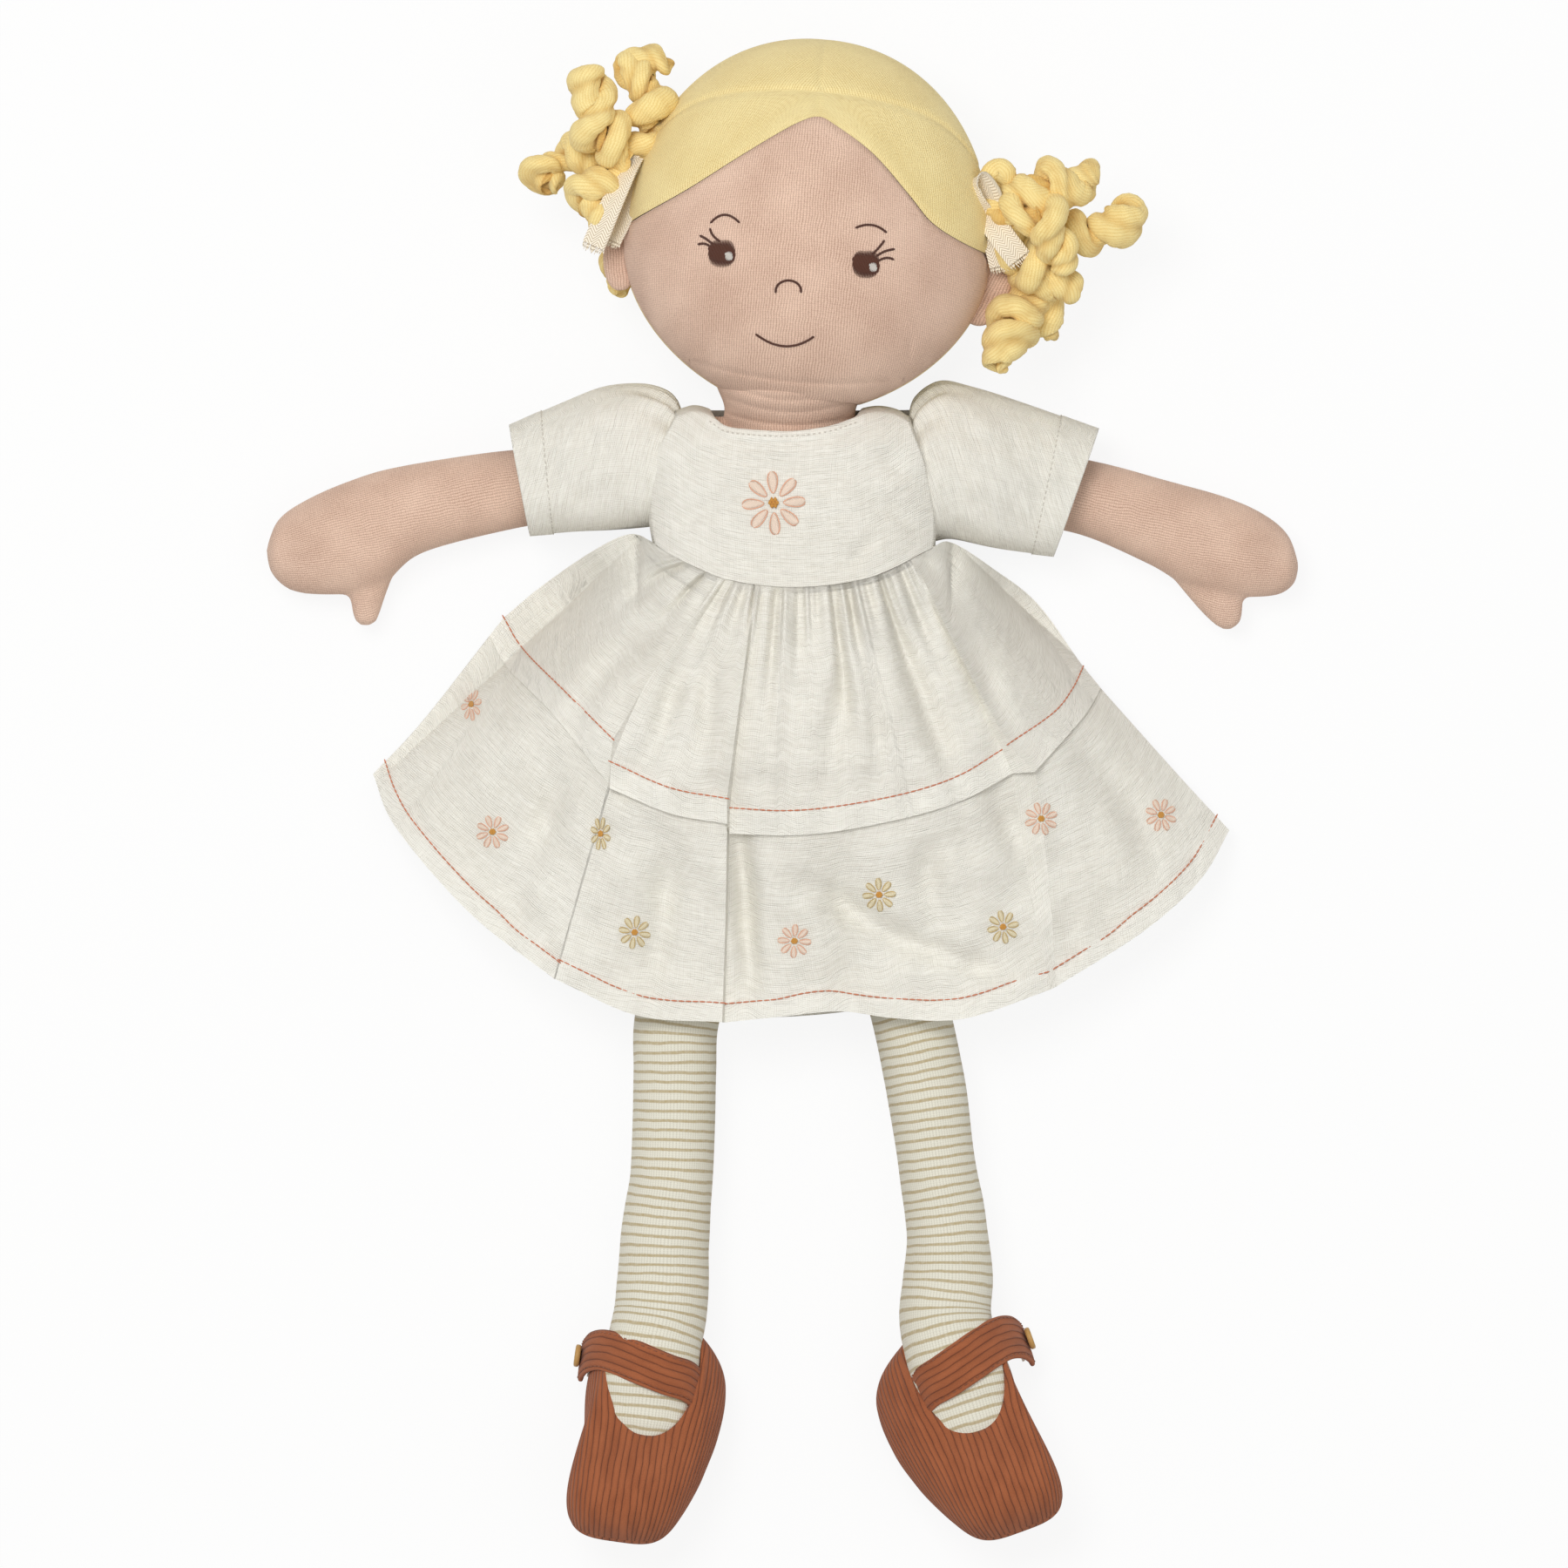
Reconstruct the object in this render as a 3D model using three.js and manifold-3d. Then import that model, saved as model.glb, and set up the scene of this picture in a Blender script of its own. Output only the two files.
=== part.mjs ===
// Soft rag doll lying on its back, face up (+Z), head towards +Y. Millimetres.
// "left" and "right" are the doll's own sides: its left hand is towards +X.
import * as THREE from "three";
import { mergeVertices } from "three/addons/utils/BufferGeometryUtils.js";
import Module from "manifold-3d";

const wasm = await Module();
wasm.setup();

// Cloth and seams
const GAP = 0.3; // between two pieces that touch on the real doll
const LINEN = 0.9; // dress cloth, with the air that it traps
const JERSEY = 1.6; // hair and face panels of the head
const CORDUROY = 1.3; // shoe uppers and straps
const TAPE = 0.8; // woven cotton ribbon
const TAPE_WIDTH = 6.5;
const STITCHED_EDGE = 0.5; // how far a soft piece is pressed flat where it lies
const LIMB_SIDES = 16; // flat sides round a stuffed limb
const LIMB_RINGS = 16; // rings along it
const LIMB_SEAM = 1.6; // half the thickness where a limb is sewn flat

// Head
const HEAD_WIDTH = 102.6;
const HEAD_LENGTH = 101;
const HEAD_DEPTH = 76;
const HEAD_WIDEST = 40; // from the chin up to the widest place
const HEAD_LEAN = 5; // degrees, towards the doll's left
const CHIN_SHARPNESS = 1.8;
const CROWN_SHARPNESS = 2.12;
const PARTING_HEIGHT = 80; // peak of the hairline over the chin
const TEMPLE_HEIGHT = 44; // where the hairline meets the side seams
const CROWN_SEAM_HEIGHT = 88; // seam across the crown, on the centre line
const CROWN_SEAM_DROP = 11; // its ends lie lower
const HEAD_SIDES = 24;
const HEAD_RINGS = 15;
const EAR_HEIGHT = 36;
const EAR_LENGTH = 18;
const EAR_STAND = 8; // from the side seam out
const EAR_THICKNESS = 4.4;
const EAR_SEWN_IN = 2; // part of the ear inside the side seam
const EAR_LEAN = 12;

// Neck and torso
const NECK_WIDTH = 38;
const NECK_DEPTH = 31;
const NECK_LENGTH = 10;
const NECK_SHOWS = 4.8; // shoulder seam to chin
const TORSO_WIDTH = 72;
const TORSO_DEPTH = 46;
const TORSO_LENGTH = 115; // hip seam to shoulder seam
const TORSO_BACK = 2.5; // space under the torso for the cloth and its closing
const SEAM_WEDGE = 22; // length over which the torso thins to its bottom seam

// Dress
const BODICE_EASE = 1.6; // torso to the inside of the bodice, at the sides
const CLOSURE_WIDTH = 10; // tape that closes the dress at the back
const CLOSURE_LENGTH = 25;
const CLOSURE_MIDDLE = 82; // over the hip seam
const NECK_EASE = 0.7; // neck to the edge of the neckline
const NECKLINE_DROP = 5.5; // front of the neckline under its sides
const SLEEVE_LENGTH = 45;
const SLEEVE_ROOT = 38; // height of the armhole
const SLEEVE_PUFF = 42; // height of the fullest place
const SLEEVE_CUFF = 33; // height of the opening
const SLEEVE_DEPTH = 35;
const SLEEVE_OVER_ARM = 4; // middle of the sleeve over the arm's seam
const CUFF_BAND = 7;
const CUFF_FOLD = 0.5; // the doubled hem stands this much prouder
const SKIRT_APEX = 6; // point where the skirt's edges would meet, above the shoulder seam
const SKIRT_SPREAD = 46; // degrees from the middle to each edge
const WAIST_RADIUS = 54;
const TUCK_RADIUS = 120;
const HEM_RADIUS = 172;
const SKIRT_SHORT_SIDE = 12; // how much the doll's right edge is drawn up
const TUCK_OVERLAP = 6;
const HEM_FOLD = 5.4;
const HEM_THICKNESS = 0.4;
const WAIST_HEIGHT = 52; // cloth over the belly
const HEM_HEIGHT = 37;
const FOLDS = 5;
const FOLD_RISE = 2.2;
const GATHERS = 13;
const GATHER_RISE = 0.9;

// Arms
const RIGHT_ARM_LENGTH = 112.5; // the doll lies a little askew, so one arm shows longer
const LEFT_ARM_LENGTH = 106.5;
const ARM_WIDTH = 24;
const ARM_DEPTH = 24;
const ARM_HEIGHT = 99; // shoulder over the hip seam
const ARM_BOW = 4;
const HAND_WIDTH = 31;
const HAND_DEPTH = 22;
const THUMB_LENGTH = 17;
const THUMB_WIDTH = 8;
const THUMB_PLACE = 0.76; // share of the arm's length
const RIGHT_ARM_DROP = 12; // degrees under level
const LEFT_ARM_DROP = 14;

// Legs
const ANKLE_DOWN = 144; // hip seam to the ankle's middle
const LEG_WIDTH = 24;
const LEG_STUB = 5; // straight stretch at the hip seam
const HIP_SPREAD = 18; // centre line to the top of each leg
const KNEE_SPREAD = 35;
const RIGHT_ANKLE_SPREAD = 38;
const LEFT_ANKLE_SPREAD = 43;
const KNEE_DOWN = 60;
const ANKLE_RISE = 20.5; // height of the ankle's middle over the surface

// Shoes
const SHOE_LENGTH = 61;
const SHOE_WIDTH = 40;
const SHOE_HEEL_WIDTH = 35;
const SHOE_HEIGHT = 23;
const SHOE_TOE_HEIGHT = 17;
const SHOE_PITCH = 30; // degrees that the toe is raised
const RIGHT_TOE_OUT = 8;
const LEFT_TOE_OUT = 20;
const SOLE_THICKNESS = 2.2;
const SOLE_INSET = 1.5; // edge of the sole inside the upper's
const SHOE_RINGS = 10;
const SOLE_STEPS = 12;
const HEEL_SHARE = 0.22; // share of the length in which the heel rounds, and the toe
const TOE_SHARE = 0.42;
const ANKLE_PLACE = 6; // from the heel to the ankle's middle
const ANKLE_OVER_SOLE = 20;
const THROAT_WIDTH = 27;
const THROAT_END = 33; // from the heel to the front of the throat
const THROAT_BACK = 4; // how much longer the throat's oval is, so that it opens the heel too
const STRAP_WIDTH = 10.5;
const STRAP_INNER = 22; // from the heel to the strap's sewn end
const STRAP_OUTER = 9; // from the heel to its button end
const STRAP_LOW = 14; // height over the sole where it leaves the shoe's sides
const STRAP_ARCH = 19; // rise over the ankle
const STRAP_CLEAR = 1.5; // the shoe widens forwards of the strap
const STRAP_SEWN = 3; // how far its sewn end runs on downwards
const STRAP_PAD = 0.8;
const BUTTON_RADIUS = 3.2;
const BUTTON_THICKNESS = 1.7;

// Pigtails
const ROOT_HEIGHT = 61; // over the chin
const ROOT_NECK = 4.2;
const ROOT_NECK_LENGTH = 3.6;
const ROOT_BALL = 5.6;
const WRAP_CLEAR = 1.6; // ribbon to the head, so that the pigtail can swing
const LEFT_PIGTAIL_HEADING = -18; // degrees over level, in the picture
const RIGHT_PIGTAIL_HEADING = 160;
const LEFT_TAIL = 17; // length of a ribbon's long tail
const RIGHT_TAIL = 28;
const BOW_LOOP = 13;
const TAIL_LIFT = 10; // the tails lie over the hair
const STRAND = 4.8; // thickness of the twisted jersey
const CURL_RADIUS = 3.2;
const CURL_PITCH = 10;
const CURL_STEPS = 8;
const CURL_SIDES = 5;
const TIP_SHARE = 0.55; // thickness of a curl's tip

const SKIN = new THREE.MeshStandardMaterial({ color: 0xd0a98f, roughness: 0.9, metalness: 0 });
const HAIR = new THREE.MeshStandardMaterial({ color: 0xe8cf8e, roughness: 0.9, metalness: 0 });
const CURL = new THREE.MeshStandardMaterial({ color: 0xe0bc6c, roughness: 0.9, metalness: 0 });
const CLOTH = new THREE.MeshStandardMaterial({ color: 0xe9e6dc, roughness: 0.95, metalness: 0 });
const STRIPE = new THREE.MeshStandardMaterial({ color: 0xe9dfca, roughness: 0.9, metalness: 0 });
const CORD = new THREE.MeshStandardMaterial({ color: 0x8d5035, roughness: 0.95, metalness: 0 });
const RIBBON = new THREE.MeshStandardMaterial({ color: 0xd9cbb2, roughness: 0.9, metalness: 0 });
const BUTTON = new THREE.MeshStandardMaterial({ color: 0xb98f55, roughness: 0.5, metalness: 0 });

const radians = THREE.MathUtils.degToRad;
const lerp = THREE.MathUtils.lerp;
const smooth = THREE.MathUtils.smoothstep;
const vec = (x, y, z) => new THREE.Vector3(x, y, z);
const UP = vec(0, 0, 1);

const doll = new THREE.Group();

function add(name, geometry, material, group = doll) {
  const mesh = new THREE.Mesh(geometry, material);
  mesh.name = name;
  group.add(mesh);
  return mesh;
}

// Geometry from points and triangles, with its faces turned outwards
function closed(points, faces) {
  const geometry = new THREE.BufferGeometry();
  const numbers = points.flatMap((p) => [p.x, p.y, p.z]);
  geometry.setAttribute("position", new THREE.Float32BufferAttribute(numbers, 3));
  let volume = 0;
  for (let i = 0; i < faces.length; i += 3) {
    const [a, b, c] = [points[faces[i]], points[faces[i + 1]], points[faces[i + 2]]];
    volume += a.dot(vec(0, 0, 0).crossVectors(b, c));
  }
  geometry.setIndex(volume < 0 ? faces.reverse() : faces);
  return geometry;
}

// Closed skin through rings of equally many points
function skin(rings) {
  const sides = rings[0].length;
  const points = rings.flat();
  const faces = [];
  for (let r = 0; r + 1 < rings.length; r++)
    for (let i = 0; i < sides; i++) {
      const a = r * sides + i;
      const b = r * sides + ((i + 1) % sides);
      faces.push(a, b, b + sides, a, b + sides, a + sides);
    }
  for (const [ring, start] of [[rings[0], 0], [rings.at(-1), (rings.length - 1) * sides]]) {
    const middle = points.length;
    points.push(ring.reduce((sum, p) => sum.add(p), vec(0, 0, 0)).divideScalar(sides));
    for (let i = 0; i < sides; i++) {
      const pair = [start + i, start + ((i + 1) % sides)];
      faces.push(...(start ? pair : pair.reverse()), middle);
    }
  }
  return closed(points, faces);
}

// Cloth of even thickness under a grid of points on its upper face
function sheet(top, thickness) {
  const rows = top.length;
  const columns = top[0].length;
  const points = top.flat();
  const under = points.length;
  points.push(...points.map((p) => p.clone().setZ(p.z - thickness)));
  const faces = [];
  for (let r = 0; r + 1 < rows; r++)
    for (let c = 0; c + 1 < columns; c++) {
      const a = r * columns + c;
      const b = a + columns;
      faces.push(a, a + 1, b + 1, a, b + 1, b);
      faces.push(under + a, under + b + 1, under + a + 1, under + a, under + b, under + b + 1);
    }
  const wall = (a, b) => faces.push(a, under + b, b, a, under + a, under + b);
  for (let c = 0; c + 1 < columns; c++) {
    wall(c, c + 1);
    wall((rows - 1) * columns + c + 1, (rows - 1) * columns + c);
  }
  for (let r = 0; r + 1 < rows; r++) {
    wall((r + 1) * columns, r * columns);
    wall(r * columns + columns - 1, (r + 1) * columns + columns - 1);
  }
  return closed(points, faces);
}

// Point of a rounded outline of half sizes 1, at an angle: power 2 is an ellipse
function roundness(angle, power) {
  const bend = (v) => Math.sign(v) * Math.abs(v) ** (2 / power);
  return [bend(Math.cos(angle)), bend(Math.sin(angle))];
}

// Value at a fraction of the way, from a list of [fraction, value] joined smoothly
function along(list, t) {
  const next = list.findIndex(([at]) => at >= t);
  if (next <= 0) return next === 0 ? list[0][1] : list.at(-1)[1];
  const [[t0, v0], [t1, v1]] = [list[next - 1], list[next]];
  return lerp(v0, v1, smooth(t, t0, t1));
}

// Ring of points across a direction, kept above the surface that it lies on
function ringAt({ middle, towards, width, depth, power = 2.2, sides, floor = -Infinity }) {
  const across = vec(0, 0, 0).crossVectors(towards, UP).normalize();
  const over = vec(0, 0, 0).crossVectors(across, towards).normalize();
  const ring = [];
  for (let i = 0; i < sides; i++) {
    const [x, z] = roundness((i / sides) * 2 * Math.PI, power);
    const point = middle.clone().addScaledVector(across, x * width).addScaledVector(over, z * depth);
    ring.push(point.setZ(Math.max(point.z, floor)));
  }
  return ring;
}

// Stuffed limb along a route, with half widths and half depths given along it
function limb({ route, widths, depths, steps, sides, power, floor }) {
  const curve = new THREE.CatmullRomCurve3(route, false, "centripetal");
  const rings = [];
  for (let i = 0; i <= steps; i++) {
    const t = (1 - Math.cos((i / steps) * Math.PI)) / 2;
    const middle = curve.getPointAt(t);
    const towards = curve.getTangentAt(t);
    const [width, depth] = [along(widths, t), along(depths, t)];
    rings.push(ringAt({ middle, towards, width, depth, power, sides, floor }));
  }
  return skin(rings);
}

function solid(geometry) {
  const bare = geometry.index ? geometry.toNonIndexed() : geometry.clone();
  bare.deleteAttribute("normal");
  bare.deleteAttribute("uv");
  const merged = mergeVertices(bare, 1e-4);
  return new wasm.Manifold(new wasm.Mesh({
    numProp: 3,
    vertProperties: merged.attributes.position.array,
    triVerts: new Uint32Array(merged.index.array),
  }));
}

function meshed(manifold) {
  const mesh = manifold.getMesh();
  const geometry = new THREE.BufferGeometry();
  geometry.setAttribute("position", new THREE.BufferAttribute(mesh.vertProperties, 3));
  geometry.setIndex(new THREE.BufferAttribute(mesh.triVerts, 1));
  return geometry;
}

const cut = (geometry, ...tools) =>
  meshed(tools.reduce((rest, tool) => rest.subtract(solid(tool)), solid(geometry)));
const keep = (geometry, tool) => meshed(solid(geometry).intersect(solid(tool)));
const join = (a, b) => meshed(solid(a).add(solid(b)));

function mirror(geometry) {
  const flipped = geometry.clone().scale(-1, 1, 1);
  return flipped.setIndex([...flipped.index.array].reverse());
}

// Upright prism over an outline of [x, y] points
function prism(outline, low, high) {
  const shape = new THREE.Shape(outline.map(([x, y]) => new THREE.Vector2(x, y)));
  return new THREE.ExtrudeGeometry(shape, { depth: high - low, bevelEnabled: false }).translate(0, 0, low);
}

const FAR = 300; // reach of the cutting shapes past the doll
const slab = (x0, x1, z0, z1) => prism([[x0, -FAR], [x1, -FAR], [x1, FAR], [x0, FAR]], z0, z1);

// Head, in its own frame: chin at the origin, crown along +Y, back at z = 0

const headGroup = new THREE.Group();
const chinY = TORSO_LENGTH + NECK_SHOWS;
headGroup.position.set(0, chinY, 0);
headGroup.rotation.z = -radians(HEAD_LEAN);
doll.add(headGroup);

const headMiddle = HEAD_DEPTH / 2;

// Share of the full width at a height over the chin
function headShare(height) {
  const chinReach = HEAD_WIDEST * 1.1;
  const crownReach = HEAD_LENGTH - HEAD_WIDEST;
  const above = height > HEAD_WIDEST;
  const far = Math.abs(height - HEAD_WIDEST) / (above ? crownReach : chinReach);
  const power = above ? CROWN_SHARPNESS : CHIN_SHARPNESS;
  return Math.max(0, 1 - far ** power) ** (1 / power);
}

// The whole head, or with an inset the stuffed core under its panels
function headForm(inset) {
  const rings = [];
  const crown = HEAD_LENGTH - inset;
  for (let i = 0; i <= HEAD_RINGS; i++) {
    const far = Math.sin((i / HEAD_RINGS) * (Math.PI / 2));
    const height = i ? Math.min(crown * far, crown - GAP / 2) : Math.min(inset, 0);
    const share = headShare((height * HEAD_LENGTH) / crown);
    rings.push(ringAt({
      middle: vec(0, height, headMiddle),
      towards: vec(0, 1, 0),
      width: Math.max((HEAD_WIDTH / 2) * share - inset, 1),
      depth: Math.max((HEAD_DEPTH / 2 + STITCHED_EDGE) * share ** 0.9 - inset, 1),
      sides: HEAD_SIDES,
      floor: Math.max(inset, 0),
    }));
  }
  return skin(rings);
}

const sideReach = HEAD_WIDTH;

// Line across the front of the head from its right half, given from the middle out
const bothSides = (half) => [...half.toReversed().map(([x, y]) => [-x, y]), ...half];
const hairline = (drop) => bothSides([
  [2, PARTING_HEIGHT - 1 - drop],
  [HEAD_WIDTH * 0.17, PARTING_HEIGHT - 12 - drop],
  [HEAD_WIDTH * 0.43, TEMPLE_HEIGHT + 2 - drop],
  [sideReach, TEMPLE_HEIGHT - (sideReach - HEAD_WIDTH / 2) / 2 - drop],
]);
const crownSeam = (lift) => bothSides([
  [2, CROWN_SEAM_HEIGHT + lift],
  [HEAD_WIDTH * 0.33, CROWN_SEAM_HEIGHT - CROWN_SEAM_DROP + lift],
  [sideReach, CROWN_SEAM_HEIGHT - CROWN_SEAM_DROP * 3 + lift],
]);
const closeOver = (line) => [...line, [sideReach, FAR], [-sideReach, FAR]];
const closeUnder = (line) => [...line, [sideReach, -FAR], [-sideReach, -FAR]];

const headShell = cut(headForm(0), headForm(JERSEY));
const face = keep(headForm(0), prism(closeUnder(hairline(GAP)), headMiddle + GAP, FAR));
add("head", join(headForm(JERSEY + GAP), face), SKIN, headGroup);

const frontHair = keep(
  keep(headShell, prism(closeOver(hairline(0)), headMiddle + GAP, FAR)),
  prism(closeUnder(crownSeam(-GAP)), headMiddle, FAR),
);
const backHair = meshed(
  solid(keep(headShell, slab(-FAR, FAR, -FAR, headMiddle)))
    .add(solid(keep(headShell, prism(closeOver(crownSeam(0)), headMiddle - GAP, FAR)))),
);
for (const [side, sign] of [["left", 1], ["right", -1]]) {
  const half = slab(sign * GAP / 2, sign * FAR, -FAR, FAR);
  add(`hair_front_${side}`, keep(frontHair, half), HAIR, headGroup);
  add(`hair_back_${side}`, keep(backHair, half), HAIR, headGroup);
  const ear = new THREE.SphereGeometry(1, 12, 8)
    .scale(EAR_STAND + EAR_SEWN_IN, EAR_LENGTH / 2, EAR_THICKNESS / 2)
    .rotateZ(-sign * radians(EAR_LEAN))
    .translate(sign * ((HEAD_WIDTH / 2) * headShare(EAR_HEIGHT) - EAR_SEWN_IN), EAR_HEIGHT, headMiddle);
  add(`ear_${side}`, cut(ear, headForm(-GAP)), SKIN, headGroup);
}

// Pigtails: a gathered root on the side of the head, and curls that leave it

// Route of each curl from the root, in the picture's directions
const RIGHT_CURLS = [
  [[2, 9, 0], [-2, 16, 1], [0, 23, 2], [7, 27, 3], [14, 27, 3]],
  [[-4, 5, 8], [-8, 11, 12], [-10, 18, 13], [-8, 24, 12]],
  [[-8, -1, -4], [-15, 0, -8], [-19, -3, -11], [-20, -9, -13]],
  [[-5, -6, 5], [-8, -12, 7], [-8, -18, 7]],
  [[-3, -5, -10], [-6, -14, -17], [-8, -25, -20], [-7, -34, -20]],
];
const LEFT_CURLS = [
  [[1, 8, 4], [2, 15, 5]],
  [[8, 4, 4], [16, 7, 8], [24, 8, 8], [28, 5, 6]],
  [[9, -2, -4], [18, -6, -10], [26, -7, -14], [29, -1, -14]],
  [[4, -7, -12], [12, -16, -18], [20, -22, -19], [23, -30, -19]],
  [[2, -10, -3], [8, -20, -8], [13, -29, -11], [13, -38, -11]],
  [[-1, -9, 8], [0, -20, 11], [-1, -31, 11], [1, -41, 11]],
  [[7, -4, 9], [14, -12, 13], [17, -22, 11]],
];

// A twisted strip wound round its route as one unbroken tube
function curl(route) {
  const start = vec(...route[0]).setLength(ROOT_BALL + GAP);
  const outside = route.map((p) => vec(...p)).filter((p) => p.length() > ROOT_BALL + STRAND / 2);
  const curve = new THREE.CatmullRomCurve3([start, ...outside], false, "centripetal");
  const length = curve.getLength();
  const turns = length / CURL_PITCH;
  const steps = Math.round(turns * CURL_STEPS);
  const side = vec(0, 0, 0).crossVectors(curve.getTangentAt(0), UP).normalize();
  const spine = [];
  for (let i = 0; i <= steps; i++) {
    const t = i / steps;
    const tangent = curve.getTangentAt(t);
    side.addScaledVector(tangent, -side.dot(tangent)).normalize();
    const other = vec(0, 0, 0).crossVectors(tangent, side);
    const leaves = smooth(t * length, STRAND * 0.6, STRAND * 1.8);
    const swell = leaves * smooth((1 - t) * length, 0, STRAND * 0.7);
    const angle = i * ((2 * Math.PI) / CURL_STEPS);
    spine.push(curve.getPointAt(t)
      .addScaledVector(side, CURL_RADIUS * swell * Math.cos(angle))
      .addScaledVector(other, CURL_RADIUS * swell * Math.sin(angle)));
  }
  return { spine, tube: tubeAlong(spine, STRAND / 2, curve.getTangentAt(0)) };
}

// Tube of a few sides through the points, its first face square to what it meets
function tubeAlong(spine, radius, first) {
  const rings = [];
  const side = vec(0, 0, 0).crossVectors(first, UP).normalize();
  spine.forEach((point, i) => {
    const ahead = spine[Math.min(i + 1, spine.length - 1)];
    const behind = spine[Math.max(i - 1, 0)];
    const towards = i ? ahead.clone().sub(behind).normalize() : first.clone();
    side.addScaledVector(towards, -side.dot(towards)).normalize();
    const other = vec(0, 0, 0).crossVectors(towards, side);
    const thin = i === spine.length - 1 ? TIP_SHARE : 1;
    const ring = [];
    for (let s = 0; s < CURL_SIDES; s++) {
      const angle = (s / CURL_SIDES) * 2 * Math.PI;
      ring.push(point.clone()
        .addScaledVector(side, radius * thin * Math.cos(angle))
        .addScaledVector(other, radius * thin * Math.sin(angle)));
    }
    rings.push(ring);
  });
  return skin(rings);
}

// Least gap of a wound tube to its own next turns
function leastGap(spine) {
  let least = Infinity;
  for (let i = 0; i < spine.length; i++)
    for (let j = i + CURL_STEPS - 2; j < spine.length; j++)
      least = Math.min(least, spine[i].distanceTo(spine[j]) - STRAND);
  return least;
}

// Flat strip through the points; acrossAt gives the direction of its width from the one it runs in
function strip(points, acrossAt, width, thickness, steps = points.length * 3) {
  const curve = new THREE.CatmullRomCurve3(points, false, "centripetal");
  const rings = [];
  for (let i = 0; i <= steps; i++) {
    const middle = curve.getPointAt(i / steps);
    const towards = curve.getTangentAt(i / steps);
    const across = acrossAt(towards);
    across.addScaledVector(towards, -across.dot(towards)).normalize();
    const over = vec(0, 0, 0).crossVectors(across, towards).normalize();
    rings.push([[1, 1], [-1, 1], [-1, -1], [1, -1]].map(([w, h]) => middle.clone()
      .addScaledVector(across, (w * width) / 2)
      .addScaledVector(over, (h * thickness) / 2)));
  }
  return skin(rings);
}

// Woven ribbon whose broad face is turned to face `facing`
const tape = (points, facing) => strip(
  points.map((p) => vec(...p)),
  (towards) => vec(0, 0, 0).crossVectors(towards, facing),
  TAPE_WIDTH,
  TAPE,
);

function ringBand(inner, outer, width) {
  const half = width / 2;
  const profile = [[inner, -half], [outer, -half], [outer, half], [inner, half], [inner, -half]];
  return new THREE.LatheGeometry(profile.map(([r, y]) => new THREE.Vector2(r, y)), 16);
}

let curlGap = Infinity;
for (const [side, sign, curls, heading] of [
  ["left", 1, LEFT_CURLS, LEFT_PIGTAIL_HEADING],
  ["right", -1, RIGHT_CURLS, RIGHT_PIGTAIL_HEADING],
]) {
  const group = new THREE.Group();
  const seam = sign * ((HEAD_WIDTH / 2) * headShare(ROOT_HEIGHT) - 1);
  const out = ROOT_NECK_LENGTH + ROOT_BALL;
  const turn = radians(heading + HEAD_LEAN);
  group.position.set(seam + out * Math.cos(turn), ROOT_HEIGHT + out * Math.sin(turn), headMiddle);
  group.rotation.z = radians(HEAD_LEAN);
  headGroup.add(group);

  // The gathered root: a neck sewn in the side seam, and a ball where the curls leave it
  const sewnEnd = -2 * ROOT_BALL - ROOT_NECK_LENGTH;
  const profile = [[0, sewnEnd], [ROOT_NECK, sewnEnd], [ROOT_NECK, -ROOT_BALL * 0.9]];
  for (let a = -45; a <= 90; a += 27)
    profile.push([Math.max(0, ROOT_BALL * Math.cos(radians(a))), ROOT_BALL * Math.sin(radians(a))]);
  const root = new THREE.LatheGeometry(profile.map(([r, y]) => new THREE.Vector2(r, y)), 12)
    .rotateZ(radians(heading - 90));
  group.updateMatrix();
  const headHere = headForm(-GAP).applyMatrix4(group.matrix.clone().invert());
  add(`pigtail_root_${side}`, cut(root, headHere), CURL, group);

  curls.forEach((route, i) => {
    const made = curl(route);
    curlGap = Math.min(curlGap, leastGap(made.spine));
    add(`curl_${side}_${i + 1}`, made.tube, CURL, group);
  });

  // Ribbon: tied round the neck of the root, with its tails
  const wrapAt = -ROOT_BALL - ROOT_NECK_LENGTH * 0.45;
  const wrapOut = ROOT_NECK + GAP + TAPE * 1.5;
  const wrap = ringBand(ROOT_NECK + GAP, wrapOut, ROOT_NECK_LENGTH * 0.75)
    .translate(0, wrapAt, 0).rotateZ(radians(heading - 90));
  const nearHead = headForm(-WRAP_CLEAR).applyMatrix4(group.matrix.clone().invert());
  add(`ribbon_wrap_${side}`, cut(wrap, nearHead), RIBBON, group);
  const knot = vec(wrapAt + 2 * GAP, 0, wrapOut + TAPE / 2 + 4 * GAP).applyAxisAngle(UP, radians(heading));
  const facing = vec(0.15 * sign, 0, 1);
  const hang = (route, length, lift) => tape(
    route.map(([x, y, z]) => [knot.x + x * length, knot.y + y * length, knot.z + z * lift]),
    facing,
  );
  // Tails and loop leave the knot: shares of their length across and along, and of their lift
  const tails = side === "left"
    ? [
        [[0.06, 0, 0], [0.3, -0.25, 0.8], [0.7, -0.7, 1.2]],
        [[0.06, -0.24, 0.4], [0.12, -0.53, 0.9], [0.23, -0.88, 0.9]],
      ]
    : [
        [[-0.07, 0, 0.1], [-0.21, -0.29, 0.8], [-0.43, -0.9, 1]],
        [[-0.07, -0.14, 0.15], [-0.21, -0.36, 0.3], [-0.36, -0.68, 0.2]],
      ];
  const tailLength = side === "left" ? LEFT_TAIL : RIGHT_TAIL;
  tails.forEach((route, i) =>
    add(`ribbon_tail_${side}_${i + 1}`, hang(route, tailLength, TAIL_LIFT), RIBBON, group));
  if (side === "left") {
    const loop = [[0.08, 0.23, 0.05], [-0.08, 0.46, 0.8], [-0.38, 0.92, 1.4]];
    add("ribbon_loop_left", hang(loop, BOW_LOOP, TAIL_LIFT), RIBBON, group);
  }
}
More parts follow.
